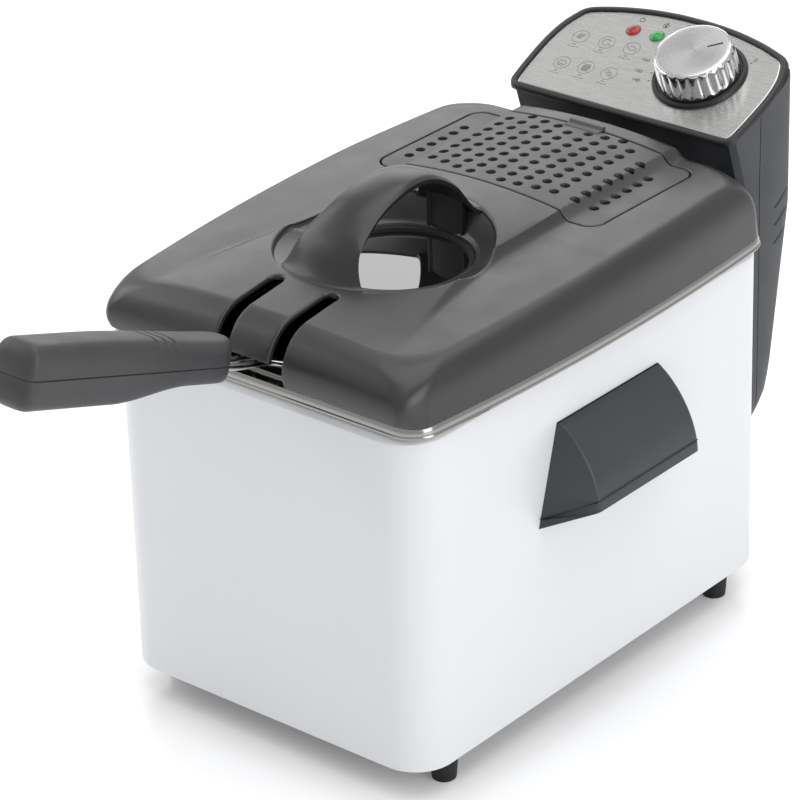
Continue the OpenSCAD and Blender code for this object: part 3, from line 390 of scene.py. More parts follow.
def spun_steel(name, rgb, rough, centre, normal):
    """Metal turned on a lathe: rings about an axis through the centre."""
    m = Nodes(name, Metallic=1.0, Anisotropic=0.55)
    value = m.where
    for operation, vector in (("SUBTRACT", centre), ("CROSS_PRODUCT", normal), ("LENGTH", None)):
        step = m.node("VectorMath")
        step.operation = operation
        if vector:
            step.inputs[1].default_value = vector
        m.link(value, step.inputs[0])
        value = step.outputs["Value" if operation == "LENGTH" else "Vector"]
    rings = m.tree.nodes.new("ShaderNodeTexNoise")
    rings.noise_dimensions = "1D"
    rings.inputs["Scale"].default_value = 2600
    rings.inputs["Detail"].default_value = 2
    m.link(value, rings.inputs["W"])
    fac = rings.outputs["Fac"]
    color = m.tint(m.ramp(fac, 0, 1), rgb, 0.97, 1.02)
    return m.use(color, m.ramp(fac, rough - 0.04, rough + 0.05), m.bump(fac, 0.08, 0.00003))


def rubber(name, rgb):
    m = Nodes(name, Specular_IOR_Level=0.35)
    fine = m.noise(2200, 3)
    color = m.tint(m.ramp(m.noise(50, 3), 0, 1), rgb, 0.8, 1.35)
    return m.use(color, m.ramp(fine, 0.6, 0.75), m.bump(fine, 0.25, 0.00008))


def smoked_glass(name, rgb):
    m = Nodes(name, Specular_IOR_Level=0.9, IOR=1.5, Coat_Weight=1.0, Coat_Roughness=0.01)
    haze = m.noise(70, 3)
    color = m.tint(m.ramp(haze, 0, 1), rgb, 0.9, 1.2)
    return m.use(color, m.ramp(haze, 0.015, 0.03), m.bump(m.noise(12, 2), 0.02, 0.0004))


def lens(name, rgb, glow):
    """Coloured plastic over an unlit lamp, with the faint ribs of its diffuser."""
    m = Nodes(name, Specular_IOR_Level=0.3, Coat_Weight=0.35, Coat_Roughness=0.04)
    ribs = m.noise(900, 1, stretch=(1, 0.15, 1))
    color = m.blend(m.ramp(ribs, 0, 1), shade(rgb, 0.75), glow)
    return m.use(color, m.ramp(ribs, 0.16, 0.24), m.bump(ribs, 0.15, 0.00005))


def ceramic(name, rgb):
    m = Nodes(name, Specular_IOR_Level=0.5)
    pits = m.noise(800, 4, rough=0.7)
    color = m.tint(m.ramp(m.noise(40, 4), 0, 1), rgb, 0.9, 1.04)
    return m.use(color, m.ramp(pits, 0.35, 0.5), m.bump(pits, 0.15, 0.0001))


def print_ink(name, rgb):
    m = Nodes(name, Specular_IOR_Level=0.3)
    grain = m.noise(3000, 2)
    return m.use(m.tint(m.ramp(grain, 0, 1), rgb, 0.8, 1.25), m.ramp(grain, 0.4, 0.55))


LID_GREY = plastic("lid_grey", (0.025, 0.025, 0.0245), 0.33, grain=1700, depth=0.16, coat=0.1)
COVER_GREY = plastic("cover_grey", (0.050, 0.050, 0.0495), 0.42, grain=1500, depth=0.2, coat=0.05)
STRAP_GREY = plastic("strap_grey", (0.016, 0.0165, 0.018), 0.3, grain=1700, depth=0.13, coat=0.1)
BOWL_GREY = plastic("bowl_grey", (0.040, 0.0405, 0.042), 0.33, grain=1500, depth=0.13, coat=0.1)
CHARCOAL = plastic("charcoal", (0.036, 0.039, 0.046), 0.42, grain=1300, depth=0.3)
CHARCOAL_DARK = plastic("charcoal_dark", (0.030, 0.033, 0.039), 0.44, grain=1300, depth=0.3)
# Bezel plastic: the same dark plastic as the head's charcoal, made darker than it as painted shade
BEZEL_PAINTED_SHADE = plastic("bezel_painted_shade", (0.016, 0.0165, 0.018), 0.4, grain=1300, depth=0.25)
GRIP_BLACK = plastic("grip_black", (0.044, 0.0445, 0.047), 0.44, grain=1100, depth=0.45)
BLACK = plastic("black", (0.008, 0.008, 0.009), 0.4, grain=1500, depth=0.2)
WHITE = enamel("white_enamel", (0.74, 0.755, 0.78))
RIM_STEEL = steel("rim_steel", (0.34, 0.335, 0.325), 0.15, stretch=(0.6, 0.6, 8), depth=0.12)
PLATE_STEEL = steel("plate_steel", (0.60, 0.59, 0.57), 0.32, stretch=(0.04, 1, 1), depth=0.25)
SCREW_STEEL = steel("screw_steel", (0.6, 0.6, 0.6), 0.28, depth=0.15, scale=1600)
WIRE = steel("basket_wire", (0.66, 0.65, 0.63), 0.17, depth=0.08, scale=1200, aniso=0.0)
FASCIA = steel("fascia_steel", (0.62, 0.615, 0.60), 0.24, stretch=(0.03, 1, 1), depth=0.1,
               scale=3200, aniso=0.95)
KNOB_SIDE = steel("knob_chrome", (0.62, 0.62, 0.63), 0.12, depth=0.05, scale=600, aniso=0.0)
DARK_SHEATH = steel("element_sheath", (0.16, 0.15, 0.145), 0.45, depth=0.3, scale=700)
COPPER = steel("copper", (0.72, 0.40, 0.26), 0.3, depth=0.1, scale=800)
BRASS = steel("brass", (0.72, 0.55, 0.27), 0.3, depth=0.1, scale=800)
SEAL = rubber("seal_rubber", (0.012, 0.012, 0.012))
FOOT = rubber("foot_rubber", (0.014, 0.014, 0.014))
GLASS = smoked_glass("smoked_glass", (0.008, 0.0075, 0.007))
RED = lens("red_lens", (0.34, 0.018, 0.012), (0.46, 0.04, 0.028))
GREEN = lens("green_lens", (0.014, 0.30, 0.06), (0.04, 0.46, 0.10))
RED_BUTTON = plastic("red_button", (0.5, 0.03, 0.02), 0.3)
CREAM = ceramic("cream_ceramic", (0.75, 0.72, 0.64))
INK = print_ink("print_ink", (0.05, 0.05, 0.05))
PALE_INK = print_ink("pale_ink", (0.22, 0.21, 0.20))
FILTER_GAUZE = steel("filter_gauze", (0.32, 0.32, 0.31), 0.4, depth=0.8, scale=420)

# ---------------------------------------------------------------- body


def body_shell():
    top = SEAT_Z - BASE_Z
    fold = top - 3.5
    profile = [(3.5, 0), (1.2, 0), (0.45, 0.15), (0.1, 0.5), (0, 1.1), (0, 60), (0, 120),
               (0, fold - 0.5), (0.12, fold), (0.5, fold + 0.5), (3.3, top - 0.75), (3.8, top - 0.3),
               (4.5, top), (5.8, top), (6.0, top - 0.3), (5.8, top - 1), (4.6, top - 1.2),
               (1.3, fold - 0.6), (1.2, 2), (1.5, 1.2), (3.5, 1.1)]
    rings = []
    for inset, z in profile + profile[:1]:
        plan, _ = rounded_rect(BODY_W - 2 * inset, BODY_L - 2 * inset, CORNER_R - inset, 240)
        rings.append(at_z(plan, BASE_Z + z))
    build("Body_shell", skin(rings), WHITE, "housing", ["outer_shell"])


def feet():
    foot_r = 7.5
    x, y = node_box("feet")[1][:2] - foot_r
    profile = [(3.8, 6), (3.8, 0.3), (4.2, 0), (5.7, 0), (6.2, 0.5), (6.35, 1.4), (6.7, 6),
               (7.25, BASE_Z - 2), (7.45, BASE_Z - 0.6), (7.45, BASE_Z), (2.2, BASE_Z), (2.2, 6)]
    foot = lathe(profile, 40, ring=True)
    places = [(sx * x, sy * y, 0) for sx in (-1, 1) for sy in (-1, 1)]
    build("Feet", joined(*(moved(foot, *at) for at in places)), FOOT, "housing", ["feet"])


def carry_handle(side):
    """One carry handle: an outer cover and the trim that closes its lower edge."""
    low, high = node_box("carry_handle_right")
    wall = BODY_W / 2
    top, out = high[2], high[0] - wall
    mid, half = (low[1] + high[1]) / 2, 41.5
    height, flare, rise, thick, corner_r = 54.0, 15.5, 12.3, 2.6, 2.2
    shares = [0.004, 0.012, 0.03, 0.06, 0.1, 0.15, *np.linspace(0.2, 0.98, 30)]

    def section(s, t):
        """Plan loop at share s below the top, t inside the outer face."""
        x = max(out * math.sin(math.pi / 2 * min(s / 0.8, 1)) ** 0.66 - t, 0.2)
        y = half - t * 0.9
        foot = y + flare * s
        z = top - height * s - t * (1 - s)
        r = min(corner_r, x * 0.45)
        corner, start = np.array([x, -y]), np.array([0, -foot])
        d = (corner - start) / np.linalg.norm(corner - start)
        a, b = corner - d * r, np.array([x, -y + r])
        loop = [start]
        for u in np.arange(7) / 6:
            loop.append((1 - u) ** 2 * a + 2 * u * (1 - u) * corner + u * u * b)
        loop += [p * [1, -1] for p in reversed(loop)]
        return np.array([[wall + p[0], mid + p[1], z] for p in loop])

    def band(t, lowest, highest):
        """The skin t inside the outer face, between two planes parallel to the underside."""
        rings = [section(s, t) for s in shares]
        for ring in rings:
            floor = top - height + (ring[:, 0] - wall) * rise / out
            ring[:, 2] = np.clip(ring[:, 2], floor + lowest, floor + highest)
        return rings

    for piece, mat, planes in (("handle", CHARCOAL, (6.25, math.inf)), ("trim", CHARCOAL_DARK, (0.0, 5.85))):
        rings = band(0, *planes) + band(thick, *planes)[::-1]
        if piece == "trim":
            rings.append(rings[0])
        points, faces = skin(rings)
        name = f"{piece}_{'right' if side > 0 else 'left'}"
        build(f"Carry_{name}", (points * [side, 1, 1], faces), mat, "housing",
              [f"carry_{name}"])


# ---------------------------------------------------------------- pot

POT_W, POT_L, POT_R, POT_Y, POT_DEEP = 172.0, 246.0, 26.0, -5.0, 140


def oil_pot():
    n = 240

    def brim(steps):
        """Rings of the bowed brim, from steps of inset and height above its top."""
        for inset, z in steps:
            plan, _ = rounded_rect(RIM_W - 2 * inset, RIM_L - 2 * inset, RIM_R - inset, n)
            share = 2 * plan[:, 1] / (RIM_L - 2 * inset)
            plan[:, 0] *= 1 + RIM_BOW * (1 - share**2) / (RIM_W / 2 - inset)
            yield at_z(plan, RIM_Z + z)

    def well(base, steps):
        """Rings of the straight-sided pot, from steps of inset and height above the base."""
        for inset, z in steps:
            plan, _ = rounded_rect(POT_W - 2 * inset, POT_L - 2 * inset, max(POT_R - inset, 2), n)
            yield at_z(plan + [0, POT_Y], base + z)

    floor = RIM_Z - POT_DEEP
    inside = [
        *brim([(1.2, -5.1), (0.5, -5.4), (0, -5.2), (-0.25, -4.6), (-0.1, -4.0), (0.35, -3.5), (0.3, -2.6),
               (0.65, -1.3), (1.2, 0), (9, 0)]),
        *well(RIM_Z, [(-3.5, 0), (-1.6, -0.3), (-0.4, -1.2), (0, -3)]),
        *well(floor, [(0, 60), (0, 12), (1, 6.5), (3.2, 2.8), (7, 0.7), (12, 0), (60, 0), (84, 0)]),
    ]
    outside = [
        inside[0],
        *brim([(1.2, -1.8), (1.7, -1.2), (9, -1.2)]),
        *well(RIM_Z, [(-4.5, -1.2), (-1.2, -3.2)]),
        *well(floor, [(-1.2, 12), (-0.2, 6), (2.2, 2), (6.5, -0.6), (12, -1.2), (84, -1.2)]),
    ]
    shapes = [loft(rings, caps=(False, True)) for rings in (inside, outside)]
    build("Oil_pot", joined(*shapes), RIM_STEEL, "pot", ["oil_pot"])


# ---------------------------------------------------------------- lid

LID_INSET, LID_T, LID_CORNER_R = 1.0, 2.4, 26.0
NOSE_Y, REAR_Y = -(RIM_L / 2 - LID_INSET) - 3.0, RIM_L / 2 - LID_INSET
FLANGE_Z = LID_Z + 34.3
CROWN_Z = LID_Z + 42.3
LID_SHARP = 30


def lid_top(x, y):
    """Height of the lid's upper surface."""
    x, y = np.abs(np.asarray(x, float)), np.asarray(y, float)
    flange = FLANGE_Z - 5.8 * np.clip((50 - y) / 170, 0, 1.2) ** 1.3
    crease = 50 + 0.0345 * np.clip(-20 - y, 0, None) ** 1.4
    step = 4.8 * ease((y + 132) / 112)
    crown = CROWN_Z - 6.3 * (np.clip(-20 - y, 0, None) / 73) ** 1.3
    edge = flange + step
    inside = edge + (crown - edge) * (1 - (x / crease) ** 2)
    fall = np.clip((x - crease) / 6.0, 0, 1)
    outside = flange + step * (1 - fall) ** 2 - 0.8 * ease((x - 72) / 28)
    return np.where(x < crease, inside, outside)


# Shares of the band's depth and of the lid's height, from the lower edge inwards
SIDE_BAND = [(0, 0), (0.015, 0.2), (0.03, 0.42), (0.05, 0.54), (0.10, 0.65), (0.17, 0.74),
             (0.26, 0.82), (0.37, 0.885), (0.5, 0.935), (0.65, 0.97), (0.82, 0.992), (1, 1)]
FRONT_BAND = [(0.04, 0.045), (-0.11, 0.12), (-0.18, 0.26), (-0.19, 0.38), (-0.16, 0.5), (-0.08, 0.61),
              (0.04, 0.71), (0.15, 0.79), (0.29, 0.86), (0.46, 0.92), (0.7, 0.972), (1, 1)]
REAR_BAND = [(0, 0), (0.12, 0.2), (0.24, 0.4), (0.33, 0.54), (0.40, 0.65), (0.46, 0.74),
             (0.53, 0.82), (0.6, 0.885), (0.68, 0.935), (0.78, 0.97), (0.89, 0.992), (1, 1)]
BAND_DEPTH = {"side": 11.5, "front": 15.0, "rear": 15.0}


def lid_plan(side, front, rear, r):
    """The lid's plan, inset by its own amount at the sides, front and rear, with outward normals.

    Each corner and each straight run always has the same number of points, so that plans can be
    blended point by point.
    """
    w = RIM_W / 2 - LID_INSET - side
    y_low, y_high = NOSE_Y + front, REAR_Y - rear
    turn, run = 40, 80
    corners = [(w - r, y_high - r), (r - w, y_high - r), (r - w, y_low + r), (w - r, y_low + r)]
    arcs = []
    for k, centre in enumerate(corners):
        angle = np.radians(90 * k + np.arange(turn + 1) * 90 / turn)
        unit = np.stack([np.cos(angle), np.sin(angle)], 1)
        arcs.append((unit * r + centre, unit))
    points, normals = [], []
    for k, (arc, unit) in enumerate(arcs):
        ahead = arcs[(k + 1) % 4]
        share = (np.arange(1, run) / run)[:, None]
        points += [arc, arc[-1] + (ahead[0][0] - arc[-1]) * share]
        normals += [unit, np.repeat(unit[-1:], run - 1, 0)]
    points, normals = np.concatenate(points), np.concatenate(normals)
    middle, half = (y_low + y_high) / 2, (y_high - y_low) / 2
    points[:, 0] *= 1 + RIM_BOW * (1 - ((points[:, 1] - middle) / half) ** 2) / w
    return points, normals


def on_lid(p, down=0):
    """Plan points at a depth below the lid's upper surface."""
    return at_z(p, lid_top(p[:, 0], p[:, 1]) - down)


def lid_rings(t):
    """Rings of the lid's skin, t below and inside its outer face, from the lower edge to the ridge."""
    plan, normal = lid_plan(t, t, t, RIM_R - LID_INSET - t)
    goal, _ = lid_plan(*(BAND_DEPTH[k] + t for k in ("side", "front", "rear")), LID_CORNER_R - t)
    side, square = normal[:, 0] ** 2, normal[:, 1] ** 2
    front, rear = square * (normal[:, 1] < 0), square * (normal[:, 1] > 0)
    rings = []
    for s, f, r in zip(SIDE_BAND, FRONT_BAND, REAR_BAND):
        a, b = (side * s[i] + front * f[i] + rear * r[i] for i in (0, 1))
        p = plan + (goal - plan) * a[:, None]
        rings.append(at_z(p, LID_Z + (lid_top(p[:, 0], p[:, 1]) - t - LID_Z) * b))
    edge = rings[-1][:, :2]
    ridge = np.column_stack([np.zeros(len(plan)), np.clip(edge[:, 1], -60, 60)])
    return rings + [on_lid(edge + (ridge - edge) * share, t) for share in np.linspace(0, 1, 75)[1:]]


def lip_cutter(outline, normal, radius):
    """A cutter whose edge is rounded where it leaves the lid's surface.

    outline is the hole's plan; the rounding grows outwards from it by the radius.
    """
    rings = [at_z(outline + normal * (radius + 0.25), LID_Z + 80)]
    steps = [(radius + 0.25, 0.06)]
    for k in range(5):
        a = math.pi / 2 * k / 4
        steps.append((radius * (1 - math.sin(a)), -radius * (1 - math.cos(a))))
    for out, down in steps:
        p = outline + normal * out
        rings.append(at_z(p, lid_top(p[:, 0], p[:, 1]) + down))
    rings.append(at_z(outline, LID_Z + 10))
    return loft(rings)


def surface_path(x, start):
    """Places (y, z) along the lid's surface at x, from y = start forwards and over the nose."""
    deep = BAND_DEPTH["front"]
    pts = [(y, float(lid_top(x, y))) for y in np.linspace(start, NOSE_Y + deep, 20)]
    for a, b in FRONT_BAND[-2::-1]:
        y = NOSE_Y + a * deep
        pts.append((y, LID_Z + (float(lid_top(x, y)) - LID_Z) * b))
    pts.append((pts[-1][0], LID_Z - 4))
    return np.array(pts)


SLOT_X, SLOT_HALF, SLOT_Y = 17.4, 4.1, -107.0
TONGUE_Z = LID_Z + 13.5
RECESS_Y, RECESS_R = -45.6, 55.0
FILTER_Y, FILTER_W, FILTER_L, FILTER_R = 75.5, 144.0, 88.0, 9.0
SLOT_LIP, RECESS_LIP, FILTER_LIP = 1.3, 1.8, 0.7


def slot_cutter(side):
    """The front slot beside the tongue: a channel that follows the lid over its nose."""
    line = surface_path(SLOT_X, SLOT_Y)
    tangent = np.gradient(line, axis=0)
    tangent /= np.linalg.norm(tangent, axis=1)[:, None]
    up = np.stack([tangent[:, 1], -tangent[:, 0]], 1)
    wide = SLOT_HALF + SLOT_LIP
    half = [(wide + 0.2, 4.0), (wide + 0.2, 0.08)]
    for a in math.pi / 2 * np.arange(1, 5) / 4:
        half.append((wide - SLOT_LIP * math.sin(a), -SLOT_LIP * (1 - math.cos(a))))
    half.append((SLOT_HALF, -5.0))
    section = half + [(-u, v) for u, v in reversed(half)]
    return loft([[(side * SLOT_X + u, y + ny * v, z + nz * v) for u, v in section]
                 for (y, z), (ny, nz) in zip(line, up)])


def lid():
    outer, inner = lid_rings(0.0), lid_rings(LID_T)
    skins = [skin(rings) for rings in (outer, inner, [outer[0], inner[0]])]
    shell = build("Lid_shell", joined(*skins), LID_GREY, "lid", ["lid_shell"])
    cut(shell, lip_cutter(*circle(0, RECESS_Y, RECESS_R, 160), RECESS_LIP))
    plan, normal = rounded_rect(FILTER_W, FILTER_L, FILTER_R, 240)
    cut(shell, lip_cutter(plan + [0, FILTER_Y], normal, FILTER_LIP))
    for side in (-1, 1):
        cut(shell, lip_cutter(*circle(side * SLOT_X, SLOT_Y, SLOT_HALF, 48), SLOT_LIP))
        cut(shell, slot_cutter(side))
    wide, below = SLOT_X + SLOT_HALF, LID_Z - 3
    cut(shell, box_shape((-wide, NOSE_Y - 4, below), (wide, SLOT_Y - 6, TONGUE_Z)))
    cut(shell, box_shape((-47, RIM_L / 2 - 20, below), (47, RIM_L / 2 + 9, LID_Z + 14)))
    shade_mesh(shell.data, LID_SHARP)


WINDOW_Z = node_box("window_glass")[1][2] + 2
WINDOW_R, WINDOW_Y = 39.0, -37.0


def recess():
    """The conical bowl below the lid grip, down to the window's seat, and the window in it."""
    _, unit = circle(0, 0, 1, 160)
    rim_r = RECESS_R - 0.6
    rim = unit * (RECESS_R + 0.05) + [0, RECESS_Y]
    high = lid_top(rim[:, 0], rim[:, 1])
    seat = WINDOW_Z + 3.6
    rings = [at_z(rim, high - 2.0), at_z(unit * rim_r + [0, RECESS_Y], high - 3.2)]
    for share in np.linspace(0.06, 0.94, 8):
        centre = [0, RECESS_Y + (WINDOW_Y - RECESS_Y) * share]
        r = rim_r - (rim_r - WINDOW_R - 2.0) * share
        rings.append(at_z(unit * r + centre, (high - 3.2) * (1 - share) + seat * share))
    for r, z in [(1.6, seat + 0.3), (0.9, seat - 0.3), (0.6, seat - 1.2), (0.6, WINDOW_Z - 4),
                 (3, WINDOW_Z - 4), (4, seat - 2)]:
        rings.append(at_z(unit * (WINDOW_R + r) + [0, WINDOW_Y], z))
    rings += [at_z(unit * (RECESS_R + 1.5) + [0, RECESS_Y], high - 5.5), rings[0]]
    build("Recess_bowl", skin(rings), BOWL_GREY, "lid", ["recess_bowl"])

    at = (0, WINDOW_Y, WINDOW_Z)
    edge = [(0.5, -3.5), (0.5, 2.2), (-0.2, 2.7), (-1.6, 2.2), (-2.6, 0.5), (-2.6, 0.1), (-0.2, 0.05),
            (-0.2, -3.2), (-5, -3.2), (-5, -3.5)]
    seal = lathe([(WINDOW_R + r, z) for r, z in edge], 128, ring=True)
    build("Window_seal", moved(seal, *at), SEAL, "lid", ["window_seal"])
    edge = [(WINDOW_R - r, z) for r, z in ((0.9, -3), (0.4, -2.6), (0.4, -0.5), (0.9, 0))]
    glass = lathe([(0, -3), *edge, (0, 0)], 128)
    build("Window_glass", moved(glass, *at), GLASS, "lid", ["window_glass"])


# Places along the lid grip: y, half width, height of its ridge
STRAP = [(-102.5, 31, 0), (-99.5, 26.5, 246), (-91.5, 21, 254), (-82, 18, 261.6), (-65, 15.4, 270.6),
         (-48, 14.2, 275.2), (-35, 13.2, 276.2), (-22, 12.6, 274.2), (-12, 12.8, 269.6),
         (-4, 14, 263.6), (3, 16.5, 256.4), (8, 20, 250.8), (11, 25, 0)]


def lid_grip():
    keys = np.array(STRAP, float)
    for end in (0, -1):
        keys[end, 2] = float(lid_top(0, keys[end, 0]))
    line = smooth_path(keys, 1.2)
    arc_r = RECESS_R + 0.4
    rings = []
    for y0, w, z0 in line:
        front = ease(1 - (y0 - line[0][0]) / 22)
        rear = ease(1 - (line[-1][0] - y0) / 20)
        hug = max(front, rear) ** 3
        top, under = [], []
        for u in np.linspace(-1, 1, 21):
            x = u * w
            bow = arc_r - math.sqrt(max(arc_r**2 - x * x, 1))
            y = y0 + bow * front - bow * rear
            crown = z0 - 2.6 * abs(u) ** 2.4
            z = crown * (1 - hug) + (float(lid_top(x, y)) - 0.15) * hug
            edge = 0.7 if abs(u) > 0.99 else 0.0
            top.append((x, y, z - edge))
            under.append((x * (1.0 - 0.045 * (1 - hug)), y, z - (4.6 - 1.4 * abs(u) ** 4)))
        rings.append(top + under[::-1])
    build("Lid_grip", loft(rings), STRAP_GREY, "lid", ["lid_grip"], sharp=50)


def lid_grip_leg():
    """The leg that stands in the recess below the strap's rear."""
    half, rows = 11.8, 14
    y_front = WINDOW_Y + WINDOW_R - 0.6
    rings = []
    for share, z in zip(np.linspace(0, 1, rows), np.linspace(WINDOW_Z + 3.2, 251.0, rows)):
        loop = [(-half, y_front + 2.4 + 1.4 * share), (-half, y_front + 0.7), (-half + 0.5, y_front + 0.1),
                (-half + 1.6, y_front), (-half + 2.4, y_front + 0.9)]
        loop += [(x, y_front + 0.9 - 0.5 * (1 - (x / 9.4) ** 2)) for x in (-6, -2, 2, 6)]
        loop += [(-x, y) for x, y in loop[4::-1]]
        rings.append([(x, y, z) for x, y in loop])
    build("Lid_grip_leg", loft(rings), STRAP_GREY, "lid", sharp=LID_SHARP)


# Columns of steam holes: x, y of the foremost hole, number of holes
STEAM_COLUMNS = [(-62.5, 49.8, 6), (-53.0, 47.0, 7), (-42.7, 44.9, 8), (-32.6, 42.6, 9), (-22.4, 40.0, 9),
                 (-12.5, 38.6, 9), (-2.8, 43.1, 8), (7.3, 38.6, 9), (16.9, 40.2, 9), (26.5, 43.0, 9),
                 (36.1, 45.4, 8), (48.6, 46.4, 7), (56.6, 51.6, 6)]
STEAM_PITCH = 9.17


def steam_hole_places():
    """Centres of the filter cover's holes."""
    for x, y, count in STEAM_COLUMNS:
        for j in range(count):
            yield x, y + STEAM_PITCH * j


def filter_cover():
    gap, rounding, hole_r, notch = 0.75, 0.8, 2.5, 11.8
    plan, normal = rounded_rect(FILTER_W - 2 * gap, FILTER_L - 2 * gap, FILTER_R - gap, 320)
    plan = plan + [0, FILTER_Y]
    steps = [(0.5, 2.4), (0, 2.1), (0, 0.9), (0.1, 0.45), (0.35, 0.12), (rounding, 0)]
    rings = [on_lid(plan - normal * inset, down) for inset, down in steps]
    edge = plan - normal * rounding
    ridge = np.column_stack([np.clip(edge[:, 0], -40, 40), np.full(len(edge), FILTER_Y)])
    tops = [edge + (ridge - edge) * s for s in np.linspace(0, 1, 45)[1:]]
    upper = skin(rings + [on_lid(p) for p in tops])
    under = skin([on_lid(p, LID_T) for p in tops[::-1]] + rings[:1])
    cover = build("Filter_cover", joined(upper, under), COVER_GREY, "filter_cover",
                  ["filter_cover"])
    holes = []
    for x, y in steam_hole_places():
        z = float(lid_top(x, y))
        high = max(float(lid_top(abs(x) + d, y)) for d in (-hole_r, hole_r))
        profile = [(2.8, high + 3), (2.8, z + 0.2), (2.6, z - 0.3), (hole_r, z - 0.7), (hole_r, z - 9)]
        holes.append(moved(lathe(profile, 20), x, y, 0))
    cut(cover, joined(*holes))
    back = FILTER_Y + FILTER_L / 2
    cut(cover, box_shape((-notch, back - 2.2, LID_Z), (notch, back + FILTER_L / 2, 280)))
    shade_mesh(cover.data, LID_SHARP)


def filter_latch():
    y = FILTER_Y + FILTER_L / 2
    z = float(lid_top(0, y - 4))
    side = [(-5.6, -6), (-5.6, -0.5), (-4.8, 0.2), (-3.6, 0.4), (-0.6, 0.4), (-0.2, 0.9), (0.3, 1.7),
            (2.2, 1.8), (2.8, 1.2), (2.5, 0.2), (1.6, -0.6), (-2.6, -1.0), (-3.6, -6)]
    rings = [[(x, y + a, z + b) for a, b in side] for x in (-11, -10.6, 10.6, 11)]
    obj = build("Filter_latch", loft(rings), COVER_GREY, "filter_latch", ["filter_latch"])
    soften(obj, 0.35)


# ---------------------------------------------------------------- control head

PANEL_TILT = math.radians(22.4)
PANEL_N = (0, -math.sin(PANEL_TILT), math.cos(PANEL_TILT))
PANEL_Y = BODY_L / 2 + 4
PANEL_Z = LID_Z + 34 + 7.5 + 0.2
FASCIA_W, FASCIA_L, FASCIA_BOW = 69.4, 59.5, 12.5
HEAD_LOW = node_box("head_rear")[0][2]
HEAD_FRONT = BODY_L / 2 + 2.5
HEAD_BACK = PANEL_Y + FASCIA_L * math.cos(PANEL_TILT)
HEAD_W = FASCIA_W + 3.6
HEAD_BOW = FASCIA_BOW + 1.5
SEAM_Y = HEAD_FRONT + 23
HEAD_SHARP = 32


def panel(u, v, h=0.0):
    """A point given along, up and above the sloping panel."""
    c, s = math.cos(PANEL_TILT), math.sin(PANEL_TILT)
    return np.array([u, PANEL_Y + v * c - h * s, PANEL_Z + v * s + h * c])


def panel_points(flat):
    return np.array([panel(*p) for p in flat])


def fascia_outline(n=280):
    """The fascia's outline in the panel's frame, evenly spaced, with its outward normals."""
    half = [(0, -0.4), (40, -0.4), (66.5, -0.4), (69.2, 0.6), (69.9, 3), (70.8, 16), (71.0, 33),
            (69.2, 47), (65.6, 56.6), (63.2, 60.2), (58.5, 62.6), (45, 66.8), (28, 70.2), (12, 71.8), (0, 72)]
    dense = smooth_path(half + [(-x, y) for x, y in half[-2:0:-1]], 0.5, closed=True)
    step = np.linalg.norm(np.roll(dense, -1, 0) - dense, axis=1)
    s = np.concatenate([[0], np.cumsum(step)])
    closed = np.vstack([dense, dense[:1]])
    p = np.column_stack([np.interp(np.arange(n) * s[-1] / n, s, closed[:, k]) for k in (0, 1)])
    return p, outward(p)


def panel_height(y):
    return PANEL_Z + (y - PANEL_Y) * math.tan(PANEL_TILT)


def head_column(kind, a, z):
    """Plan point of the head's wall at a height, for one of its columns."""
    rise_z = [HEAD_LOW, HEAD_LOW + 4, HEAD_LOW + 10, HEAD_LOW + 18, HEAD_LOW + 30, SEAT_Z - 4]
    rise = np.interp(z, rise_z, [0.24, 0.4, 0.55, 0.66, 0.73, 1.0])
    lean = np.interp(z, [SEAT_Z - 2, SEAT_Z + 4, SEAT_Z + 20, PANEL_Z], [0, 8, 9, 0])
    front = HEAD_FRONT + lean
    back = HEAD_FRONT + (HEAD_BACK - HEAD_FRONT) * rise
    if kind == "front":
        return a * (HEAD_W - 3), front
    if kind == "side":
        sign, share = a
        bulge = 2.0 * math.sin(math.pi * share) ** 0.8
        return sign * (HEAD_W + bulge), front + 3 + (back - front - 7) * share
    return a * (HEAD_W - 3), back + HEAD_BOW * rise * (1 - a * a)


def head_columns():
    columns = [("front", a) for a in np.linspace(-1, 1, 33)]
    columns += [("side", (1, s)) for s in np.linspace(0, 1, 21)]
    columns += [("back", a) for a in np.linspace(1, -1, 41)]
    columns += [("side", (-1, s)) for s in np.linspace(1, 0, 21)]
    return columns


def head_shape():
    """Closed outside of the head, up to just below the panel."""
    columns = head_columns()
    levels = [HEAD_LOW + z for z in (0, 0.6, 1.6, 3, 5, 8, 12, 18, 26)]
    levels += list(np.linspace(HEAD_LOW + 34, SEAT_Z - 3, 12))
    rings = [[(*head_column(kind, a, z), z) for kind, a in columns] for z in levels]
    goals = [panel_height(head_column(kind, a, PANEL_Z)[1]) - 1.2 / math.cos(PANEL_TILT)
             for kind, a in columns]
    for share in np.linspace(0, 1, 26)[1:]:
        heights = [levels[-1] + (goal - levels[-1]) * share for goal in goals]
        rings.append([(*head_column(kind, a, z), z) for (kind, a), z in zip(columns, heights)])
    return loft(rings)


def head():
    far = 400
    front = build("Head_front", head_shape(), CHARCOAL, "head", ["head_front"])
    cut(front, box_shape((-far, -far, -far), (far, SEAM_Y, far)), "INTERSECT")
    rail_top = node_box("head_rail")[1][2] + 2
    for half, y in ((5, HEAD_FRONT - 3), (10, HEAD_FRONT + 1.6)):
        cut(front, box_shape((-half, y, HEAD_LOW - 5), (half, HEAD_FRONT + 9, rail_top)))
    rear = build("Head_rear", head_shape(), CHARCOAL_DARK, "head", ["head_rear"])
    cut(rear, box_shape((-far, SEAM_Y + 0.5, -far), (far, far, far)), "INTERSECT")
    for side in (-1, 1):
        for i in range(3):
            cut(rear, slanted_groove(side, SEAT_Z + 5 - i * 10.5))
    for obj in (front, rear):
        shade_mesh(obj.data, HEAD_SHARP)


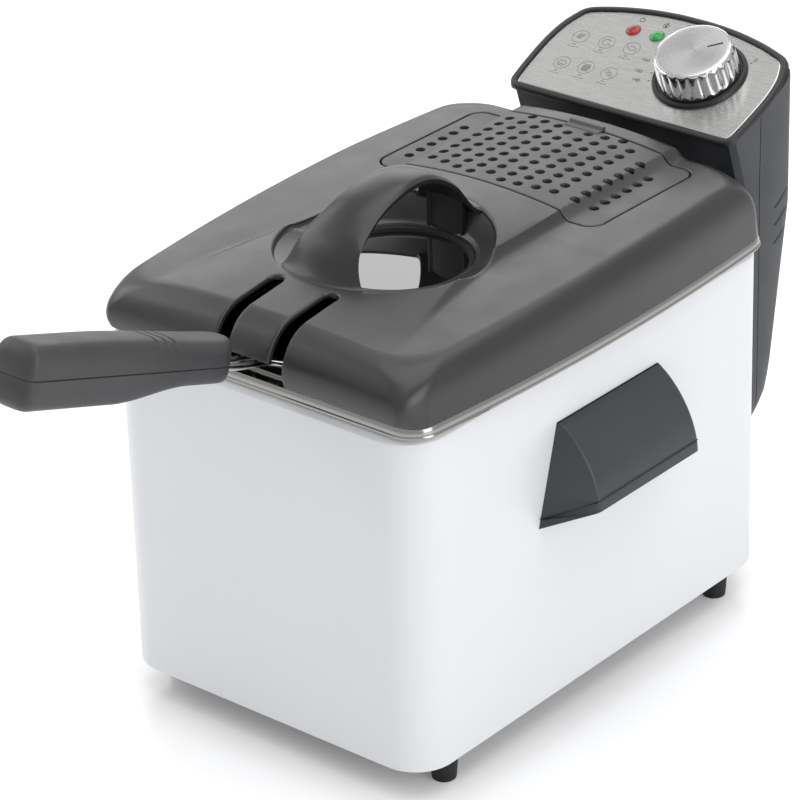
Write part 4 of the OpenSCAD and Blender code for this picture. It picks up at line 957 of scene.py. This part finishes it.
def slanted_groove(side, z):
    """One finger groove that climbs towards the head's back edge."""
    x = side * (HEAD_W + 1.6)
    path = [(x, HEAD_BACK - 19 + t * 21, z - 7 + 14 * t**1.4) for t in np.linspace(0, 1, 12)]
    radius = [0.4 + 1.0 * math.sin(math.pi * min(t * 0.75 + 0.1, 1)) for t in np.linspace(0, 1, 12)]
    return tube(path, radius, 12)


def round_fascia(steps):
    """Rings along the fascia's outline, from steps of distance outside it and height."""
    plan, normal = fascia_outline()
    return [panel_points(at_z(plan + normal * out, h)) for out, h in steps]


def bezel():
    rings = round_fascia([(4.0, -2.2), (4.15, -1.0), (3.95, 0.2), (3.4, 1.1), (2.6, 1.55), (1.6, 1.65),
                          (0.75, 1.5), (0.35, 1.1), (0.2, 0.4), (0.2, -1.5), (1.5, -2.2), (4.0, -2.2)])
    # The bezel's darker colour is painted shade
    build("Panel_bezel", skin(rings), BEZEL_PAINTED_SHADE, "head", ["panel_bezel"], sharp=50)


FACE_H = 0.42


def fascia():
    rings = round_fascia([(-0.6, -1.0), (-0.05, -0.8), (0.0, 0.0), (-0.12, 0.28), (-0.45, FACE_H),
                          (-1.0, FACE_H)])
    obj = build("Fascia_plate", loft(rings), FASCIA, "head", ["fascia_plate"], sharp=30)
    # The first texture axis runs up the slope, across the brush lines
    layer = obj.data.uv_layers.new(name="brush")
    slope = np.array([0, math.cos(PANEL_TILT), math.sin(PANEL_TILT)])
    for loop in obj.data.loops:
        point = np.array(obj.data.vertices[loop.vertex_index].co)
        layer.data[loop.index].uv = (float(point.dot(slope)), float(point[0]))
    tangent = FASCIA.node_tree.nodes.new("ShaderNodeTangent")
    tangent.direction_type = "UV_MAP"
    tangent.uv_map = "brush"
    shader = FASCIA.node_tree.nodes["Principled BSDF"]
    FASCIA.node_tree.links.new(tangent.outputs["Tangent"], shader.inputs["Tangent"])


def on_panel(shape, u, v, h=0.0, spin=0.0):
    """Moves a shape built about z onto the panel at (u, v)."""
    points, faces = shape
    c, s = math.cos(spin), math.sin(spin)
    turned = np.stack([points[:, 0] * c - points[:, 1] * s, points[:, 0] * s + points[:, 1] * c,
                       points[:, 2]], 1)
    return panel_points(turned + [u, v, h]), faces


KNOB_U, KNOB_V = 27.1, 36.8
OFF_ANGLE = math.radians(40)
LAMPS = {"red": (-29.6, 56.1), "green": (-13.9, 56.1)}


def lamps():
    profile = [(0, -3), (4.0, -3), (4.0, 0.3), (3.9, 0.75), (3.5, 1.15), (2.6, 1.5), (1.4, 1.72), (0, 1.8)]
    edge = [(4.05, -0.2), (4.05, 0.12), (4.45, 0.12), (4.5, -0.2)]
    for name, mat in (("red", RED), ("green", GREEN)):
        build(f"Lamp_{name}", on_panel(lathe(profile, 48), *LAMPS[name], FACE_H - 0.3), mat, "head",
              [f"lamp_{name}"])
        build(f"Lamp_edge_{name}", on_panel(lathe(edge, 48, ring=True), *LAMPS[name], FACE_H), PALE_INK,
              "head")


def knob():
    at = (KNOB_U, KNOB_V, FACE_H)
    ring = lathe([(21.4, -0.3), (21.4, 1.2), (23.2, 1.3), (23.6, 1.9), (24.2, 2.1), (25.4, 1.9),
                  (26.0, 1.1), (26.2, -0.3)], 128, ring=True)
    build("Knob_ring", on_panel(ring, *at), BLACK, "head", ["knob_ring"])
    flutes, flute_deep = 22, 0.95
    a = np.arange(flutes * 16) * TAU / (flutes * 16)
    hollow = 1 - np.abs(np.sin(a * flutes / 2)) ** 0.8
    levels = [(21.2, 1.6, 0), (22.1, 1.6, 0), (22.3, 2.1, 0), (22.3, 2.9, 0.1), (22.25, 3.7, 0.7),
              (22.1, 6, 1), (21.9, 10, 1), (21.7, 14.2, 1), (21.6, 15.4, 0.9), (21.45, 16.3, 0.55),
              (21.2, 17.0, 0.2), (20.8, 17.5, 0), (20.2, 17.8, 0), (19.6, 17.85, 0), (19.4, 17.6, 0)]
    unit = np.stack([np.cos(a), np.sin(a)], 1)
    rings = [at_z(unit * (r - flute_deep * deep * hollow)[:, None], z) for r, z, deep in levels]
    build("Knob_skirt", on_panel(loft(rings), *at), KNOB_SIDE, "knob", ["knob_skirt"],
          sharp=30)
    top = lathe([(19.5, 16.5), (19.5, 17.75), (19.2, 17.9), (18.6, 17.98), (12, 18.1), (5, 18.15),
                 (0.01, 18.15)], 128)
    centre = place([panel(KNOB_U, KNOB_V, 18)])[0]
    spun = spun_steel("knob_top", (0.48, 0.48, 0.485), 0.3, tuple(centre), PANEL_N)
    build("Knob_cap", on_panel(top, *at), spun, "knob", ["knob_cap"])
    line = box_shape((8.0, -0.5, 17.6), (16.6, 0.5, 18.3))
    obj = build("Knob_pointer", on_panel(line, *at, OFF_ANGLE), BLACK, "knob",
                ["knob_pointer"])
    soften(obj, 0.2)


# ---------------------------------------------------------------- printing on the panel

INK_T = 0.05
PRINT_H = FACE_H + 0.01


def flat_shape(outline):
    """A thin flat piece of print from a closed outline."""
    return loft([at_z(np.asarray(outline, float), z) for z in (0.0, INK_T)])


def stroke(path, width, closed=False):
    """A thin flat line along a path."""
    p = np.asarray(path, float)
    if closed:
        t = np.roll(p, -1, 0) - np.roll(p, 1, 0)
    else:
        t = np.gradient(p, axis=0)
    t /= np.maximum(np.linalg.norm(t, axis=1), 1e-9)[:, None]
    side = np.stack([-t[:, 1], t[:, 0]], 1) * width / 2
    rings = []
    for a, b in zip(p - side, p + side):
        rings.append([(*a, 0), (*b, 0), (*b, INK_T), (*a, INK_T)])
    return skin(rings + rings[:1]) if closed else loft(rings)


def arc_path(cx, cy, r, a0, a1, n=24):
    a = np.radians(np.linspace(a0, a1, n))
    return np.stack([cx + r * np.cos(a), cy + r * np.sin(a)], 1)


def number(text, size):
    """Outlines of a number, from Blender's built-in font, centred on the origin."""
    curve = bpy.data.curves.new("number", "FONT")
    curve.body = text
    curve.size = size
    curve.align_x = "CENTER"
    curve.align_y = "CENTER"
    curve.extrude = 0.03
    curve.resolution_u = 3
    obj = bpy.data.objects.new("number", curve)
    bpy.context.scene.collection.objects.link(obj)
    bpy.context.view_layer.update()
    mesh = bpy.data.meshes.new_from_object(obj.evaluated_get(bpy.context.evaluated_depsgraph_get()))
    points = np.array([tuple(v.co) for v in mesh.vertices])
    faces = [tuple(f.vertices) for f in mesh.polygons]
    bpy.data.objects.remove(obj)
    bpy.data.meshes.remove(mesh)
    return points, faces


def food_marks():
    """Six round marks for kinds of food, each a ring with a small plain drawing and dots below."""
    fish = [(-3, 0), (-1, 1.4), (1.2, 1.2), (3, -0.2), (1.2, -1.3), (-1, -1.2)]
    cup = [(-2.0, -2.6), (2.0, -2.6), (2.5, 0.8), (-2.5, 0.8)]
    drawings = {
        (-55.5, 42.2): [stroke([(-2.2 + k * 0.9, -1.8), (-1.4 + k, 2.2)], 0.5) for k in range(4)],
        (-38.4, 42.8): [stroke(arc_path(-0.4, 0.2, 2.3, 20, 320), 0.45),
                        stroke([(1.5, -0.4), (3.1, -1.8)], 0.6)],
        (-21.9, 43.3): [stroke(fish, 0.4, True), stroke([(-3, 0), (-3.7, 1.2)], 0.5)],
        (-53.3, 20.7): [stroke(arc_path(0, -0.6, 2.6, 10, 170), 0.45),
                        stroke([(-2.8, -0.9), (2.8, -0.9)], 0.45), stroke([(-2.2, -2.0), (2.2, -2.0)], 0.45)],
        (-37.8, 21.7): [flat_shape(cup)] + [stroke([(-1.8 + k * 0.9, 0.9), (-2.0 + k, 2.8)], 0.55)
                                            for k in range(5)],
        (-22.6, 21.9): [stroke(arc_path(-1.8 + 1.8 * k, 1.4 - 1.4 * k, 1.1, 0, 352.5, 20), 0.35, True)
                        for k in range(3)],
    }
    frame_ring = stroke(arc_path(0, 0, 4.7, 0, 352.5, 48), 0.3, closed=True)
    dots = [stroke([(-3.2 + 1.5 * k, -8.2), (-2.5 + 1.5 * k, -8.2)], 0.7) for k in range(5)]
    dash = stroke([(-1.0, -6.4), (1.0, -6.4)], 0.6)
    return [on_panel(shape, u, v, PRINT_H)
            for (u, v), drawing in drawings.items() for shape in (frame_ring, *drawing, *dots, dash)]


def dial_marks():
    """Temperatures round the knob, a zero, and the two lamp symbols."""
    tick = stroke([(27.2, 0), (28.6, 0)], 0.5)
    marks = []
    for text, turn in (("140", 193), ("150", 206), ("160", 222), ("170", 241), ("180", 266), ("190", 289)):
        a = OFF_ANGLE - math.radians(turn)
        across, along = (33, 30.5) if text in ("180", "190") else (36.2, 31.5)
        marks.append((number(text, 3.4), KNOB_U + across * math.cos(a), KNOB_V + along * math.sin(a), 0))
        marks.append((tick, KNOB_U, KNOB_V, a))
    marks += [
        (number("0", 3.6), 49.5, 57.5, 0),
        (tick, KNOB_U, KNOB_V, OFF_ANGLE),
        (stroke(arc_path(0, 0, 1.5, 120, 420), 0.35), -29.6, 65.0, 0),
        (stroke([(0, 0.6), (0, 2.2)], 0.4), -29.6, 65.0, 0),
        (stroke(arc_path(0, 0, 1.6, 0, 352), 0.35, True), -13.9, 65.2, 0),
        (flat_shape(arc_path(0, -0.4, 0.7, 0, 340, 16)), -13.9, 65.2, 0),
        (stroke([(0, 0), (0, 3.0)], 0.35), -13.9, 65.0, 0),
    ]
    marks += [(stroke([(x - 3, 0), (x - 1.6, 1.2), (x - 0.6, 0)], 0.4), 0.5, 68.6, 0) for x in (0, 3, 6)]
    return [on_panel(shape, u, v, PRINT_H, spin) for shape, u, v, spin in marks]


def panel_print():
    for name, marks, mat in (("Panel_marks", food_marks(), PALE_INK), ("Dial_marks", dial_marks(), INK)):
        build(name, joined(*marks), mat, "head", sharp=60)


# ---------------------------------------------------------------- basket

GRIP_TILT = math.radians(18.6)
GRIP_Y, GRIP_Z, GRIP_L = -BODY_L / 2 - 16.5, RIM_Z + 18, 150.0


def grip_place(points):
    """From the grip's own frame (x outwards along it, z up) into the fryer's axes."""
    p = np.asarray(points, float)
    c, s = math.cos(GRIP_TILT), math.sin(GRIP_TILT)
    out, up = p[:, 0] * c - p[:, 2] * s, p[:, 0] * s + p[:, 2] * c
    return np.stack([p[:, 1], GRIP_Y - out, GRIP_Z + up], 1)


def grip():
    """The basket grip: two halves with a fine joint, grooves on top near the body."""
    xs = np.concatenate([[6, 6.15, 6.4, 6.8], np.linspace(7.4, 20, 18), np.linspace(21, 47, 18),
                         np.linspace(47.5, 69.5, 111), np.linspace(70.5, GRIP_L - 8, 44),
                         np.linspace(GRIP_L - 7.6, GRIP_L, 16)])
    gap, lip, steps = 0.12, 0.35, 24

    def rounded(share, power):
        """Share of the full size left at a share of the way through a rounded end."""
        return math.sqrt(max(1 - max(share, 0) ** power, 0.0001))

    def half_width(x):
        end = 0.55 + 0.45 * rounded((x - GRIP_L + 6) / 6.2, 2.6)
        return 13.4 * rounded((19 - x) / 13.08, 2) * end

    def height(x, full, blunt):
        end = blunt + (1 - blunt) * rounded((x - GRIP_L + 7) / 7.4, 2.2)
        return full * rounded((9.5 - x) / 3.9, 2.2) * end

    def half_shape(sign):
        rings = []
        for x in xs:
            w = half_width(x)
            if sign > 0:
                h = height(x, 12.6 + 3.9 * ease((x - 4) / 100), 0.35)
                groove = sum(1.5 * math.exp(-(((x - 52 - 6.2 * k) / 0.75) ** 4)) for k in range(3))
            else:
                h, groove = height(x, 9.5 + 6.5 * ease((x - 38) / 50), 0.5), 0.0
            loop = [(-w + 1.2, gap), (-w + lip, gap), (-w, gap + lip)]
            for k in range(1, steps):
                a = math.pi * (1 - k / steps)
                cx, cz = math.cos(a), math.sin(a)
                px = w * math.copysign(abs(cx) ** 0.52, cx)
                pz = gap + lip + (h - gap - lip) * cz**0.62
                loop.append((px, pz - groove * cz**1.5 * (1 - 0.55 * (px / w) ** 2)))
            loop += [(w, gap + lip), (w - lip, gap), (w - 1.2, gap)]
            rings.append(grip_place([(x, px, sign * pz) for px, pz in loop]))
        return loft(rings)

    halves = [build(f"Grip_{name}", half_shape(sign), GRIP_BLACK, "basket",
                    [f"grip_{name}"], sharp=42) for name, sign in (("upper", 1), ("lower", -1))]
    for share in (0.42, 0.82):
        points, faces = moved(lathe([(3.7, -30), (3.7, -7.3), (0.01, -7.3)], 32), GRIP_L * share, 0, 0)
        cut(halves[1], (grip_place(points), faces))
    core = []
    for x in xs[6:-6]:
        y = (half_width(x) - 0.5) * 0.9
        core.append(grip_place([(x, -y, -0.5), (x, y, -0.5), (x, y, 0.5), (x, -y, 0.5)]))
    build("Grip_core", loft(core), BLACK, "basket", sharp=50)


def handle_wires():
    """Two wires from inside the grip, over the rim and down the basket's front."""
    front = node_box("basket_mesh")[0][1]
    wall, wire_x = -BODY_L / 2, 17.4
    route = [(5, wall - 28.5, 19.6), (5, wall - 17.5, 15.4), (5, wall - 4, 11.5), (5.4, wall + 5, 9.2),
             (10, wall + 11, 7.2), (wire_x, wall + 18, 5.4), (wire_x, front - 4.4, 3.5),
             (wire_x, front - 2.6, -2), (wire_x, front - 2.6, -20), (wire_x, front - 2.6, -41)]
    wires = [tube(smooth_path([(side * x, y, RIM_Z + z) for x, y, z in route], 1.5), 1.8, 14)
             for side in (-1, 1)]
    build("Handle_wires", joined(*wires), WIRE, "basket", ["handle_wires"])


def basket():
    """The wire basket: two rim rods, and a wall and floor of crossed thin wires."""
    low, high = node_box("basket_mesh")
    w, l = (high - low)[:2]
    cy, top, bottom = (low[1] + high[1]) / 2, high[2], low[2]
    r, thin, pitch, inset = 20.0, 0.5, 5.2, 1.0

    def ring(grow, z, radius, sides, n=160):
        plan, _ = rounded_rect(w + 2 * grow, l + 2 * grow, r + grow, n)
        return tube(at_z(plan + [0, cy], z), radius, sides, closed=True)

    rods = [ring(-0.4, top + 1.8, 1.8, 12), ring(-0.3, top - 8, 1.1, 10)]
    build("Basket_rim", joined(*rods), WIRE, "basket", ["basket_rim"])
    wires = [ring(-inset, z, thin, 5, 72) for z in np.arange(bottom + 6, top - 1, pitch)]

    def hoop(a, b, bend):
        """A wire down one wall, across the floor and up the other."""
        a, b = np.array(a), np.array(b)
        d = (b - a) / np.linalg.norm(b - a)
        quarter = np.linspace(0, math.pi / 2, 5)
        pts = [(*a, top), (*a, bottom + bend)]
        for end, way, turns in ((a, d, quarter[1:]), (b, -d, quarter[::-1])):
            pts += [(*(end + way * bend * (1 - math.cos(t))), bottom + bend * (1 - math.sin(t)) + thin)
                    for t in turns]
        return tube(pts + [(*b, top)], thin, 5)

    def reach(at, width, far):
        """How far from the middle a hoop at this place meets the wall, shorter in the corners."""
        over = abs(at) - width / 2 + r
        return far if over < 0 else far - r + math.sqrt(max((r - 1) ** 2 - over**2, 0))

    hw, hl = w / 2 - inset - 1, l / 2 - inset - 1
    for x in np.arange(-hw + 4, hw - 3, pitch):
        far = reach(x, w, hl)
        wires.append(hoop((x, cy - far), (x, cy + far), 7.0))
    for y in np.arange(-hl + 4, hl - 3, pitch):
        far = reach(y, l, hw)
        wires.append(hoop((-far, cy + y), (far, cy + y), 6.2))
    build("Basket_mesh", joined(*wires), WIRE, "basket", ["basket_mesh"])


# ---------------------------------------------------------------- carried-over CAD nodes

CARRIED = {
    "base_plate": BLACK, "foot_screws": SCREW_STEEL, "base_screws": SCREW_STEEL,
    "carry_screws": SCREW_STEEL, "head_rail": PLATE_STEEL, "rail_screws": SCREW_STEEL,
    "lamp_holders": CREAM, "thermostat": CREAM, "capillary_tube": COPPER, "sensor_bulb": SCREW_STEEL,
    "sensor_clamp": PLATE_STEEL, "thermal_cutout": BLACK, "interlock_switch": BLACK,
    "terminal_block": CREAM, "inner_leads": COPPER, "element_plate": PLATE_STEEL,
    "element_nuts": BRASS, "heating_element": DARK_SHEATH, "cord_gland": BLACK,
    "head_screws": SCREW_STEEL, "reset_button": RED_BUTTON, "reset_spring": SCREW_STEEL,
    "thermostat_shaft": SCREW_STEEL, "basket_bracket": WIRE, "drain_hooks": WIRE,
    "grip_screws": SCREW_STEEL, "lid_gasket": SEAL, "filter_frame": BLACK, "filter_mesh": FILTER_GAUZE,
}


def carried_nodes():
    for node, mat in CARRIED.items():
        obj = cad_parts[node]
        if not obj.material_slots:
            obj.data.materials.append(mat)
        for slot in obj.material_slots:
            slot.material = mat


# ---------------------------------------------------------------- stage, in metres

FLOOR_HALF = 6.0
SKY_STRENGTH = 0.66
# Place, target, width, height and power of each softbox
SOFTBOXES = {
    "Overhead": ((0.2, 0.5, 2.6), (0, 0, 0), 2.6, 2.2, 26),
    "Side": ((2.2, -0.1, 0.9), (0, 0, 0.12), 1.2, 1.6, 16),
    "Back": ((-1.7, 2.0, 1.5), (0, 0, 0.2), 2.0, 1.6, 13),
    "Left": ((-2.1, -0.4, 1.5), (0, 0, 0.2), 2.0, 1.2, 15),
}


def studio():
    mesh = bpy.data.meshes.new("Floor")
    corners = [(x * FLOOR_HALF, y * FLOOR_HALF, 0) for x, y in ((-1, -1), (1, -1), (1, 1), (-1, 1))]
    mesh.from_pydata(corners, [], [(0, 1, 2, 3)])
    floor = bpy.data.objects.new("Floor", mesh)
    bpy.context.scene.collection.objects.link(floor)
    m = Nodes("floor_white", Roughness=0.16, Specular_IOR_Level=0.35, Emission_Strength=0.12,
              Emission_Color=(1, 1, 1, 1))
    m.use(m.blend(m.ramp(m.noise(2, 2), 0, 1), (0.93, 0.93, 0.935), (0.95, 0.95, 0.955)))
    floor.data.materials.append(m.mat)

    world = bpy.data.worlds.new("Studio")
    world.use_nodes = True
    sky = world.node_tree.nodes["Background"]
    sky.inputs["Color"].default_value = (1, 1, 1, 1)
    sky.inputs["Strength"].default_value = SKY_STRENGTH
    bpy.context.scene.world = world

    for name, (at, target, w, h, power) in SOFTBOXES.items():
        data = bpy.data.lights.new(name, "AREA")
        data.shape = "RECTANGLE"
        data.size, data.size_y, data.energy = w, h, power
        obj = bpy.data.objects.new(name, data)
        obj.location = at
        obj.rotation_euler = (Vector(target) - Vector(at)).to_track_quat("-Z", "Y").to_euler()
        bpy.context.scene.collection.objects.link(obj)


# The camera's place in the fryer's axes, measured from the base plate, and its three directions
CAMERA_AT = (1116.75, -1348.28, 999.08 + BASE_Z)
CAMERA_RIGHT = Vector((0.76969, 0.63785719, -0.02674915))
CAMERA_UP = Vector((-0.2677411, 0.3605473, 0.89348774))
CAMERA_FORWARD = Vector((-0.57956191, 0.68054673, -0.44829024))
CAMERA_LENS, CAMERA_SENSOR = 171.3, 36


def camera():
    """The camera at the photograph's viewing angle."""
    data = bpy.data.cameras.new("Camera")
    data.lens, data.sensor_width = CAMERA_LENS, CAMERA_SENSOR
    data.clip_start, data.clip_end = 0.05, 50
    obj = bpy.data.objects.new("Camera", data)
    bpy.context.scene.collection.objects.link(obj)
    turn = Matrix((CAMERA_RIGHT, CAMERA_UP, -CAMERA_FORWARD)).transposed()
    obj.matrix_world = Matrix.Translation(Vector(place([CAMERA_AT])[0])) @ turn.to_4x4()
    bpy.context.scene.camera = obj


camera()
studio()
bpy.context.scene.view_settings.view_transform = "Standard"
body_shell()
feet()
carry_handle(1)
carry_handle(-1)
oil_pot()
lid()
recess()
lid_grip()
lid_grip_leg()
filter_cover()
filter_latch()
head()
bezel()
fascia()
lamps()
knob()
panel_print()
grip()
handle_wires()
basket()
carried_nodes()
